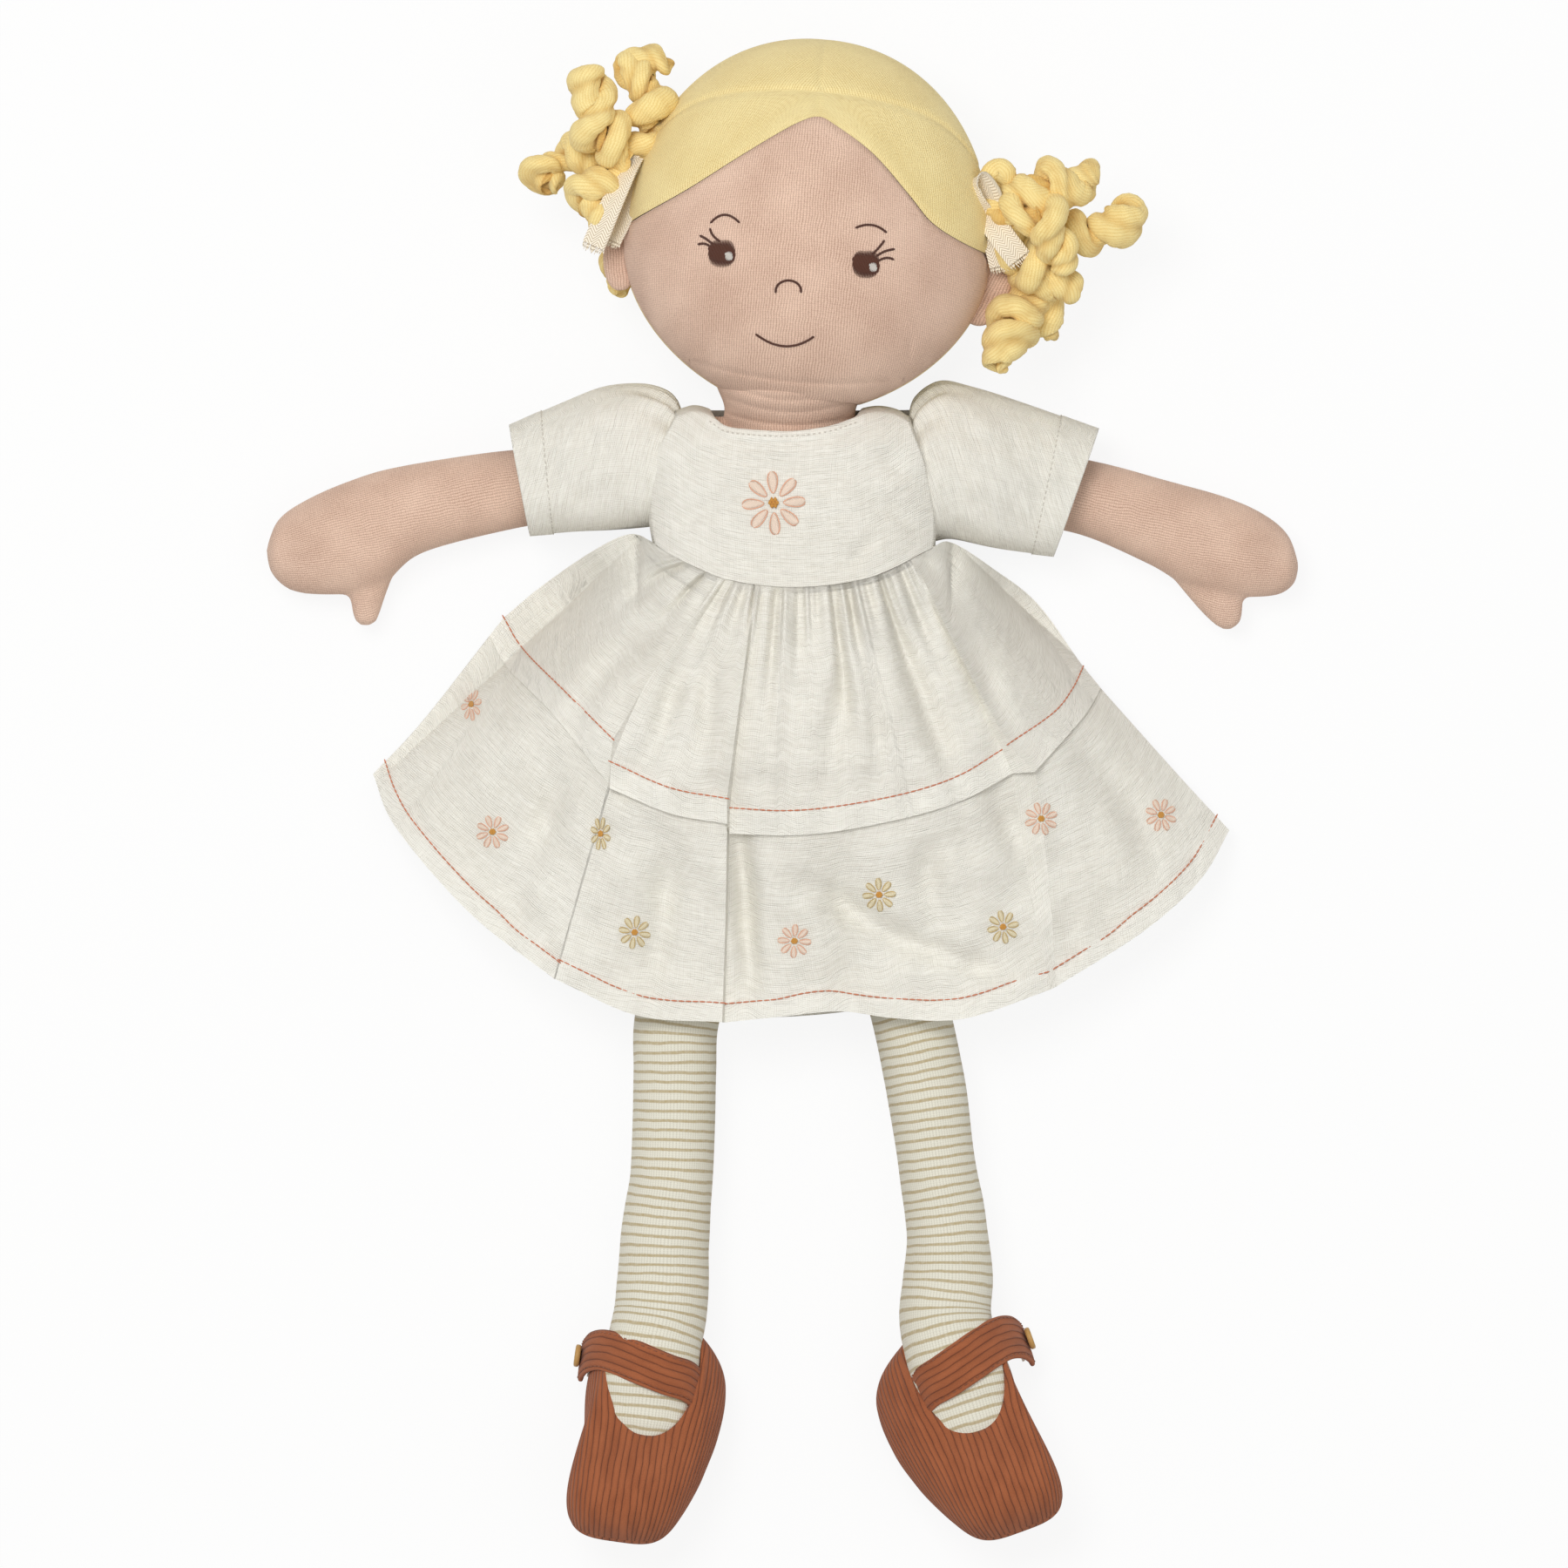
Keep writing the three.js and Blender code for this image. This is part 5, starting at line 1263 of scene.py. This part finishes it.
lay_chest = on_surface([bodice])
top_row = plan[-1]
along_top = heading(top_row)
inward = np.stack([along_top[:, 1], -along_top[:, 0]], -1)
neck_edge = (top_row + inward * 1.5)[np.abs(top_row[:, 0] - 1.0) < 20.4]
neckline = smooth_line(neck_edge[::6], 90)
neckline = lay_chest(neckline, 0.05)
stitches("neckline_stitches", [neckline], SEWING, spacing=1.5, length=0.9, thickness=0.4, body="torso")

# Daisies


def daisy(name, place, size, tilt, squeeze, outline_thread, fill_thread, lay, on_skirt):
    """Eight pale satin petals, each with a sewn outline, round a knotted middle."""
    petals, angles = [], []
    for k in range(8):
        a = tilt + k * math.pi / 4
        out = np.array([math.cos(a) * squeeze, math.sin(a)])
        side = np.array([-math.sin(a) * squeeze, math.cos(a)])
        long, wide = size * 0.34, size * 0.15
        petal = []
        for b in np.linspace(0, 2 * np.pi, 18, endpoint=False):
            outwards = out * (size * 0.65 + long * math.cos(b))
            sideways = side * wide * math.sin(b) * (1 + 0.3 * math.cos(b))
            petal.append(np.array(place) + outwards + sideways)
        petals.append(petal)
        angles.append(a + math.pi / 2 + 0.5)
    fill = satin(name, petals, angles, fill_thread, lay, None, 0.36, 0.14)
    rings = [lay(ring + ring[:1], 0.28) for ring in petals]
    edge = threads(name + "_outline", rings, 0.11 + 0.008 * size, outline_thread, None)
    beads = []
    for r, a in [(0, 0)] + [(size * 0.11, k * 1.05) for k in range(6)]:
        px, py = place[0] + r * squeeze * math.cos(a), place[1] + r * math.sin(a)
        beads.append(lay([(px - 0.5, py - 0.1), (px, py + 0.1), (px + 0.5, py)], 0.35))
    centre = threads(name + "_middle", beads, 0.085 * size + 0.12, OCHRE, None)
    for piece in (fill, edge, centre):
        if on_skirt:
            hang_with_skirt(piece)
        else:
            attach(piece, "torso")


daisy("daisy_chest", (-2.4, 80.8), 8.9, 0.05, 1.0, PEACH, PALE_PEACH, lay_chest, False)
for number, (place, squeeze, tones) in enumerate((
    ((-87.7, 24.9), 0.62, (PEACH, PALE_PEACH)), ((-81.3, -11.0), 1.0, (PEACH, PALE_PEACH)),
    ((-50.8, -11.5), 0.6, (CREAM, PALE_CREAM)), ((-41.3, -39.1), 0.95, (CREAM, PALE_CREAM)),
    ((3.4, -41.5), 1.0, (PEACH, PALE_PEACH)), ((27.1, -28.6), 1.0, (CREAM, PALE_CREAM)),
    ((61.8, -37.6), 0.95, (CREAM, PALE_CREAM)), ((72.5, -7.3), 1.0, (PEACH, PALE_PEACH)),
    ((106.5, -6.3), 0.95, (PEACH, PALE_PEACH)),
)):
    daisy(f"daisy_{number + 1}", place, 4.7, 0.2 + number * 0.13, squeeze, *tones, lay_skirt, True)

# Sleeves

# Upper and lower outline of each sleeve from the shoulder to the hem
SLEEVES = {
    "right": (
        [(-27.5, 106.0), (-32.0, 111.5), (-40.0, 114.6), (-50.0, 114.2), (-63.0, 109.2), (-76.8, 103.2)],
        [(-34.4, 75.4), (-38.0, 74.6), (-48.4, 73.8), (-58.0, 73.4), (-71.0, 72.4)],
    ),
    "left": (
        [(35.0, 103.6), (37.4, 110.0), (44.0, 115.0), (52.0, 114.4), (66.0, 110.2), (89.0, 102.2)],
        [(42.6, 70.6), (48.0, 71.2), (59.1, 68.9), (68.0, 67.6), (76.4, 66.6)],
    ),
}
SLEEVE_DEPTHS = [(0, 19.4), (0.3, 19.6), (0.8, 16.8), (1, 16.2)]
SLEEVE_MIDDLES = [(0, 21.6), (0.4, 19.8), (1, 16.8)]
for side, (top, bottom) in SLEEVES.items():
    rows, columns = 90, 120
    grid = between_lines(top, bottom, SLEEVE_DEPTHS, SLEEVE_MIDDLES, rows, columns, 2.3)
    t = np.linspace(0, 1, rows)[:, None]
    a = angles_round(columns)[None]
    gathers = 1.9 * np.sin(a * 17 + 2.4 * np.sin(a * 3)) * smooth_step(0.15, 0.9, np.cos(a))
    gathers = gathers * (1 - smooth_step(0.04, 0.42, t)) * smooth_step(0.0, 0.06, t)
    crease_amount = cloth_creases(grid[..., 0], grid[..., 1], 1.25, 21 + len(side))
    crease_amount = crease_amount * smooth_step(0.05, 0.3, t) * (1 - smooth_step(0.8, 0.97, t)) * np.sign(np.sin(a))
    grid[..., 2] += gathers * np.sin(a) * 0.9 + crease_amount
    grid[..., 1] += gathers * np.cos(a) * 0.9
    hem = smooth_step(0.815, 0.83, t)
    middle = grid.mean(1, keepdims=True)
    out = grid - middle
    out /= np.maximum(np.linalg.norm(out, axis=-1, keepdims=True), 1e-6)
    grid = grid + out * (0.3 * hem[..., None])
    grid[..., 2] = np.maximum(grid[..., 2], 0.15)
    inner = grid[::-1][:26] - out[::-1][:26] * 0.9
    inner[..., 2] = np.maximum(inner[..., 2], 0.9)
    turned_in = np.vstack([grid, inner])
    sleeve = from_grid(f"sleeve_{side}", turned_in, LINEN, None)
    near, far = (-0.040, -0.066) if side == "right" else (0.046, 0.072)
    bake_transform(sleeve)
    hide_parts(f"sleeve_{side}", f"cuff_{side}")
    declare_sheet([turned_in])
    stitch_row = int(rows * 0.82)
    line = grid[stitch_row] + out[stitch_row] * 0.15
    sewn = stitches(f"cuff_stitches_{side}", [line], SEWING, spacing=1.7, length=1.1, thickness=0.34)
    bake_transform(sewn)

# Curls

# Route of each curl from its root to its tip, and how fat it is
CURLS = {
    "right": {
        1: ([(-40, 177, 40), (-37.5, 184, 43), (-37.5, 192, 45), (-38, 198, 45), (-43, 202, 44),
             (-37, 204, 43), (-30, 203.8, 42)], 1.0),
        2: ([(-44, 177, 46), (-48.5, 181, 50), (-51.5, 187, 52), (-52, 194, 52), (-52.7, 202, 50)], 1.12),
        3: ([(-46, 176, 40), (-52, 175.5, 38), (-58, 177, 37), (-64.5, 177, 37), (-66.5, 171, 37),
             (-63, 167.5, 38)], 0.92),
        4: ([(-44, 173, 44), (-50, 171, 47), (-54.5, 166.5, 47), (-53, 161.5, 46), (-49.5, 159, 45)], 0.95),
        5: ([(-43, 172, 34), (-46.5, 163, 28), (-45.6, 154, 24), (-45.0, 147, 25),
             (-46.6, 139.4, 31)], 0.85),
    },
    "left": {
        1: ([(59, 162, 44), (62, 167, 46), (60.5, 172, 46), (64.5, 172.5, 45)], 0.9),
        2: ([(62, 163, 46), (68, 167.5, 49), (75, 171, 50), (81, 170, 49), (88.5, 170.5, 47)], 1.1),
        3: ([(64, 159, 38), (73, 157, 40), (80, 155.5, 40), (86, 155.5, 40), (92, 157, 40),
             (95.3, 162, 40), (90, 163.5, 40)], 1.0),
        4: ([(60, 155, 34), (65, 148, 32), (71, 140, 32), (75, 133, 32), (74, 126.5, 33)], 1.0),
        5: ([(61, 156, 40), (66, 150.5, 44), (71, 146.5, 45), (77, 141.5, 44), (82, 138.5, 42)], 1.1),
        6: ([(63, 157, 38), (69.5, 148, 38), (68.5, 138, 38), (63.5, 129, 42), (60.5, 117.0, 46)], 1.15),
        7: ([(62, 159, 48), (69, 161.5, 53), (74, 158, 54), (77, 151.5, 53), (76, 145.5, 50)], 1.05),
    },
}


# Length along a curl in which its strip winds round once
CURL_PITCH = 10.5


def ringlet(route, fat, seed):
    """A jersey strip twisted on itself: a fat strand wound tightly round its route, with the share of painted
    shade at each point.
    """
    vary = np.random.default_rng(seed)
    way = np.linalg.norm(np.diff(np.asarray(route, float), axis=0), axis=1).sum()
    turns = way / CURL_PITCH
    count = int(turns * 44) + 20
    line = smooth_line(route, count)
    ahead = heading(line)
    side = carried(ahead, [0.2, 0.3, 1.0])
    over = np.cross(ahead, side)
    t = np.linspace(0, 1, count)
    angle = vary.uniform(0, 6.28) + 2 * np.pi * turns * t
    swell = smooth_step(0, 0.12, t) * (1 - smooth_step(0.84, 1.0, t))
    lump = 1 + 0.13 * np.sin(t * turns * 5.1 + vary.uniform(0, 6)) + 0.14 * np.sin(t * 17 + 1)
    wind = 2.2 * fat * swell * (1 + 0.25 * np.sin(t * 11 + vary.uniform(0, 6)))
    spine = line + side * (wind * np.cos(angle))[:, None] + over * (wind * np.sin(angle))[:, None]
    radius = 4.2 * fat * lump * (0.55 + 0.45 * smooth_step(0, 0.1, t))
    radius = radius * (0.5 + 0.5 * (1 - smooth_step(0.8, 1, t)))
    radius *= np.sqrt(np.clip((1 - t) * count / 14, 0.0004, 1))
    around = tube(spine, radius, radius * 0.86, 28, 2.1, level=False)
    # Puckers across the twisted strip, and creases along it
    columns = np.linspace(0, 2 * np.pi, 29)[None]
    turned = angle[:, None]
    run = way_along(spine)[:, None]
    skew = 0.9 * np.sin(columns + vary.uniform(0, 6)) + 0.6 * np.sin(run * 0.31 + 2 * columns)
    pucker = 1 - np.abs(np.sin(np.pi * run / 3.1 + skew + 0.8 * np.sin(run * 0.23))) ** 0.6
    crease = hill(np.mod(columns + 1.1 * turned * 0.35, 2 * np.pi) - 2.4, 0.28)
    crease = crease + 0.7 * hill(np.mod(columns - 0.5 * turned + 2, 2 * np.pi) - 4.1, 0.2)
    crease = crease + 0.5 * pucker
    twist = np.cos(2 * (columns + 0.8 * turned) + 0.5 * np.sin(run * 0.4))
    crease = np.clip(0.8 * crease + 0.9 * hill(twist + 1, 0.22), 0, 1.5)
    out = around - spine[:, None]
    around = spine[:, None] + out * (1.02 + 0.2 * twist[..., None] - 0.16 * crease[..., None])
    # Painted shade: darker on the side that faces the middle of the curl, and in the creases
    to_axis = line - spine
    lengths = np.linalg.norm(out, axis=-1) * np.linalg.norm(to_axis, axis=1)[:, None]
    inner = np.einsum("ijk,ik->ij", out, to_axis) / np.maximum(lengths, 1e-6)
    return around, np.clip(smooth_step(0.2, 0.95, inner) * 0.9 + 0.5 * crease, 0, 1)


KNOTS = {
    "right": [(-37.5, 175, 38), (-40, 175.5, 39), (-46, 175.5, 41), (-49, 175, 41)],
    "left": [(54, 162, 38), (57, 161.5, 39), (62.5, 160, 41), (66, 159, 41)],
}
for side, curls in CURLS.items():
    body = f"pigtail_{side}"
    for number, (route, fat) in curls.items():
        grid, dark = ringlet(route, fat * 1.1, number * 3 + len(side))
        curl = from_grid(f"curl_{side}_{number}", grid, CURL, body)
        # Painted shade of the curl, in its creases and on the inner side of its coil, given as its crease
        # value
        mark(curl, "crease", dark)
        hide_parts(f"curl_{side}_{number}")
    t = np.linspace(0, 1, 30)
    size = profile([(0, 3.6), (0.25, 3.8), (0.65, 6.2), (0.9, 4.6), (1, 0.6)], t)
    knot = tube(smooth_line(KNOTS[side], 30), size, size, 32, 2)
    root = from_grid(f"pigtail_root_{side}", knot, CURL, None)
    # The root knot is darkened all over towards the curls' crease shade colour, at one fixed share
    mark(root, "crease", [0.45] * len(root.data.vertices))
    joint_x, reach = (-0.0395, -0.004) if side == "right" else (0.0567, 0.004)
    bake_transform(root)
    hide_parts(f"pigtail_root_{side}")

# Ribbons


def ribbon(name, route, across, width, body, frayed):
    """Woven tape along a route; across is the direction of its width, and its free end may be frayed."""
    line = smooth_line(route, 60)
    ahead = heading(line)
    across = np.broadcast_to(np.asarray(across, float), line.shape)
    side = unit(across - ahead * np.einsum("ij,ij->i", across, ahead)[:, None])
    over = np.cross(ahead, side)
    w = np.linspace(-1, 1, 13)[:, None]
    top = line[:, None] + side[:, None] * (w * width / 2) + over[:, None] * (0.35 - 0.12 * w**2)
    under = line[:, None] + side[:, None] * (w[::-1] * width / 2) - over[:, None] * 0.35
    tape = from_grid(name, np.concatenate([top, under, top[:, :1]], 1), TAPE, body)
    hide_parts(name)
    if not frayed:
        return
    tufts, vary = [], np.random.default_rng(len(name))
    for k in np.linspace(-0.95, 0.95, 17):
        start = line[-1] + side[-1] * k * width / 2
        reach = ahead[-1] * vary.uniform(1.0, 2.4) + side[-1] * vary.uniform(-0.5, 0.5)
        reach = reach + over[-1] * vary.uniform(-0.4, 0.4)
        tufts.append([start - ahead[-1], start + reach * 0.5, start + reach])
    threads(name + "_fray", tufts, 0.24, TAPE, body)


# Route of each ribbon, the direction of its width, and how wide it is
RIBBONS = {
    "tail_right_1": ([(-41.5, 177, 46), (-44.5, 171, 50), (-48.5, 162, 52), (-52.6, 152.6, 51)],
                     (1, 0.42, 0.25), 6.6),
    "tail_right_2": ([(-40.0, 176, 43), (-41.6, 168, 45), (-44.0, 160, 46), (-47.0, 154, 46)],
                     (1, 0.3, 0.9), 6.0),
    "wrap_right": ([(-39.5, 178.5, 33), (-41.5, 181.8, 38), (-41.8, 181, 43), (-41.5, 176, 46.2),
                    (-40.5, 171, 43), (-40, 170, 38), (-39.8, 171, 33)], (1, 0, 0.1), 4.0),
    "tail_left_1": ([(57.2, 161.5, 47), (59.6, 157.6, 50.5), (63.0, 152.8, 52), (66.0, 149.0, 51)],
                    (0.95, 0.62, 0.1), 7.2),
    "tail_left_2": ([(57.0, 160.5, 45), (58.0, 156.0, 47.5), (59.6, 151.0, 48), (60.6, 147.0, 47)],
                    (0.95, 0.3, 0.2), 5.6),
    "loop_left": ([(57.8, 160.6, 46.5), (54.0, 164.8, 50.5), (52.6, 169.2, 52.5), (55.0, 171.4, 52.0),
                   (58.6, 166.6, 50.0), (58.4, 161.0, 47.5)], (0.75, 0.42, 0.75), 6.4),
    "wrap_left": ([(57.4, 164.5, 33), (58.2, 167.6, 38), (58.6, 166.5, 43), (58.2, 161.5, 46.4),
                   (57.4, 156.8, 43), (57.0, 155.8, 38), (57.0, 157, 33)], (1, -0.1, 0.1), 4.0),
}
for key, (route, across, width) in RIBBONS.items():
    body = "pigtail_right" if "right" in key else "pigtail_left"
    ribbon(f"ribbon_{key}", route, across, width, body, "tail" in key)

# Shoes, in their own frame: x from the heel to the toe, y outwards, z up from the sole


def shoe_frame(sign, spread, toe_out):
    pitch, swing = math.radians(30), math.radians(toe_out) * sign
    plan = np.array([math.sin(swing), -math.cos(swing), 0])
    toe = plan * math.cos(pitch) + np.array([0, 0, math.sin(pitch)])
    across = np.array([-plan[1], plan[0], 0.0])
    up = np.cross(toe, across)
    heel = np.array([sign * spread, -144.0, 20.5]) - 6 * toe - 20 * up
    heel[2] = 0
    heel[:2] += (3.26, -9.55)

    def place(points):
        p = np.asarray(points, float)
        return heel + p[..., [0]] * toe + p[..., [1]] * (sign * across) + p[..., [2]] * up

    return place


def sole_half(t):
    """Half width of the shoe at a share of its length, heel to toe."""
    heel = rounded(t / 0.22)
    toe = np.maximum(1 - (1 - np.minimum(1, (1 - t) / 0.3)) ** 3.6, 0) ** (1 / 3.6)
    return profile([(0, 17.4), (0.3, 19.2), (0.62, 17.6), (1, 15.8)], t) * heel * toe


SHOE_LENGTH = 61.0
for side, sign, spread, toe_out in (("left", 1, 43, 20), ("right", -1, 38, 8)):
    place = shoe_frame(sign, spread, toe_out)
    count, rows = 160, 44
    a = np.linspace(0, 2 * np.pi, count + 1)
    tt = (1 + np.cos(a)) / 2
    heel_in, toe_out_by = (-6.0, 7.4) if side == "left" else (-1.4, 5.4)
    lean = heel_in * smooth_step(0, 0.15, tt) + toe_out_by * smooth_step(0.45, 1, tt)
    sole = np.stack([tt * SHOE_LENGTH, np.sign(np.sin(a)) * sole_half(tt) + lean, np.full(a.shape, 2.0)], -1)
    throat_x = np.maximum(14.4 + 20.6 * np.cos(a), -0.6 + 1.2 * (1 + np.cos(a)))
    front = np.maximum(np.cos(a), 0)
    back = np.maximum(-np.cos(a), 0)
    throat_z = 20.8 - 4.6 * front**2 - 9.0 * smooth_step(0.45, 1.0, back)
    throat = np.stack([throat_x, 13.6 * bend(np.sin(a), 2.3), throat_z], -1)
    control = np.stack([
        sole[:, 0] * 0.995 + 1.2 * front - 1.2 * back,
        sole[:, 1] * 1.12,
        12.5 + 7.5 * (1 - np.abs(np.sin(a))) * (front > 0) + 3.0 * np.abs(np.sin(a)),
    ], -1)
    t = np.linspace(0, 1, rows)[:, None, None]
    upper_shoe = throat * (1 - t) ** 2 + control * 2 * t * (1 - t) + sole * t**2
    upper_shoe[..., 2] += 0.5 * hill(t, 0.045)[..., 0]
    down = np.array([0, 0, -1.0]) * np.linspace(0, 5, 5)[:, None, None]
    inside = throat[None] * np.array([1, 0.93, 1]) + down + np.array([0, 0, 0.4])
    shell = np.vstack([inside[::-1], upper_shoe])
    lateral = np.abs(np.sin(a))[None]
    drop = np.maximum(20.0 - shell[..., 2], 0)
    u = np.sign(shell[..., 1]) * (np.abs(shell[..., 1]) + drop * lateral)
    v = shell[..., 0] + drop * (1 - lateral)
    lengths = np.stack([u, v], -1)
    piece = from_grid(f"shoe_upper_{side}", place(shell), CORD, f"leg_{side}", lengths)
    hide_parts(f"shoe_upper_{side}")

    levels = (0.2, -0.4, -1.0, -1.5, -1.8)
    ring = np.stack([sole * np.array([1, 0.97, 1]) + np.array([0, 0, z]) for z in levels])
    top, bottom = (np.broadcast_to(ring[row].mean(0), ring[row].shape)[None] for row in (0, -1))
    pad = np.vstack([top, ring, bottom])
    lengths = np.stack([pad[..., 1], pad[..., 0]], -1)
    piece = from_grid(f"shoe_sole_{side}", place(pad), CORD, f"leg_{side}", lengths)
    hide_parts(f"shoe_sole_{side}")

    # Strap: sewn inside the inner edge of the throat, over the instep, to the button outside
    line = smooth_line([(19.6, -12.2, 14.5), (19.4, -12.6, 18.0), (19.6, -9.6, 23.2), (20.0, -4.0, 26.2),
                        (18.4, 3.5, 27.2), (15.4, 10.0, 25.2),
                        (12.6, 15.0, 21.4), (10.8, 18.4, 16.0), (9.8, 20.0, 10.0), (9.6, 20.4, 5.5)], 100)
    ahead = heading(line)
    lie = np.array([0.94, 0, -0.34])
    strap_half = 6.4 if side == "left" else 5.8
    wide = unit(lie - ahead * (ahead @ lie)[:, None])
    over = np.cross(wide, ahead)
    over *= np.sign(over[len(over) // 2, 2])
    angle = np.linspace(0, 2 * np.pi, 41)
    across = strap_half * bend(np.cos(angle), 5)
    thick = 0.95 * bend(np.sin(angle), 3)
    body = line[:, None] + wide[:, None] * across[:, None] + over[:, None] * thick[:, None]
    close_ends(body)
    lengths = cloth_lengths(body)
    lengths[..., 0] = across + 0.9
    strap = from_grid(f"strap_{side}", place(body), CORD, None, lengths)
    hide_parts(f"strap_{side}")
    sewn_from, free_from = (tuple(float(c) * MM for c in place(line[i])) for i in (8, 34))
    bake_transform(strap)
    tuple(sewn_from)
    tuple(free_from)
    inner = slice(2, -2)
    beside = (1.0 - strap_half, strap_half - 1.0)
    sewn_lines = [place(line[inner] + wide[inner] * w + over[inner] * 0.86) for w in beside]
    sewn = stitches(f"strap_stitches_{side}", sewn_lines, RUST, spacing=1.9, length=1.3, thickness=0.34)
    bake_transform(sewn)
    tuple(sewn_from)
    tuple(free_from)
    base = np.array([9.8, 21.2, 10.5])
    ring_r = np.array([0.02, 2.0, 2.5, 3.1, 3.2, 3.1, 2.6, 2.1, 1.6, 0.02])
    ring_h = np.array([0.0, 0.0, 0.0, 0.3, 0.9, 1.4, 1.6, 1.15, 1.05, 1.05])
    b = np.linspace(0, 2 * np.pi, 49)
    disc = np.stack([
        base[0] + ring_r[:, None] * np.cos(b),
        base[1] + ring_h[:, None] + 0 * b,
        base[2] + ring_r[:, None] * np.sin(b),
    ], -1)
    button = from_grid(f"button_{side}", place(disc), BONE, f"strap_{side}")
    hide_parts(f"button_{side}")

for name in ("strap_pad_left", "strap_pad_right"):
    pad_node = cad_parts[name]
    pad_node.data.materials.clear()
    pad_node.data.materials.append(Shader(name).done(colour(232, 226, 212), 0.95))

# Stage, light and camera

floor_mesh = bpy.data.meshes.new("floor")
floor_mesh.from_pydata([(-3, -3, 0), (3, -3, 0), (3, 3, 0), (-3, 3, 0)], [], [(0, 1, 2, 3)])
floor = placed("floor", floor_mesh)
pale = Shader("pale_floor")
pale.finish.inputs["Base Color"].default_value = (0.86, 0.86, 0.85, 1)
pale.finish.inputs["Roughness"].default_value = 1.0
ray = pale.add("ShaderNodeLightPath").outputs
seen = ray["Is Camera Ray"]
for kind in ("Is Glossy Ray", "Is Transmission Ray"):
    seen = pale.math("MAXIMUM", seen, ray[kind])
# Share of plain white; the rest is the floor's own shade, and with it the doll's shadow
FLOOR_GLOW = 0.88
glow = pale.add("ShaderNodeEmission", {"Color": (1, 1, 1, 1)})
floor_mesh.materials.append(pale.mix_in(pale.times(seen, FLOOR_GLOW), glow))

world = bpy.data.worlds.new("studio")
scene.world = world
world.use_nodes = True
background = world.node_tree.nodes["Background"]
background.inputs["Color"].default_value = (1.0, 0.99, 0.97, 1)
background.inputs["Strength"].default_value = 0.46


def soft_light(name, place, size, power):
    lamp = bpy.data.lights.new(name, "AREA")
    lamp.size = size
    lamp.energy = power
    holder = placed(name, lamp)
    holder.location = place
    holder.rotation_euler = (Vector((0, 0, 0)) - Vector(place)).to_track_quat("-Z", "Y").to_euler()


soft_light("key", (-0.36, 0.46, 1.65), 0.7, 15.5)
soft_light("fill", (0.6, -0.3, 1.5), 1.2, 4.0)

# The camera looks straight down, and the photograph's square is this wide at this distance from it
PHOTO_WIDTH, CAMERA_DISTANCE, SENSOR = 0.43956, 4.0, 36
camera = placed("camera", bpy.data.cameras.new("camera"))
camera.data.sensor_width = SENSOR
camera.data.lens = SENSOR * CAMERA_DISTANCE / PHOTO_WIDTH
camera.location = (0.00049, 0.00244, 4.03)
camera.data.clip_end = 20
scene.camera = camera
scene.view_settings.view_transform = "Standard"
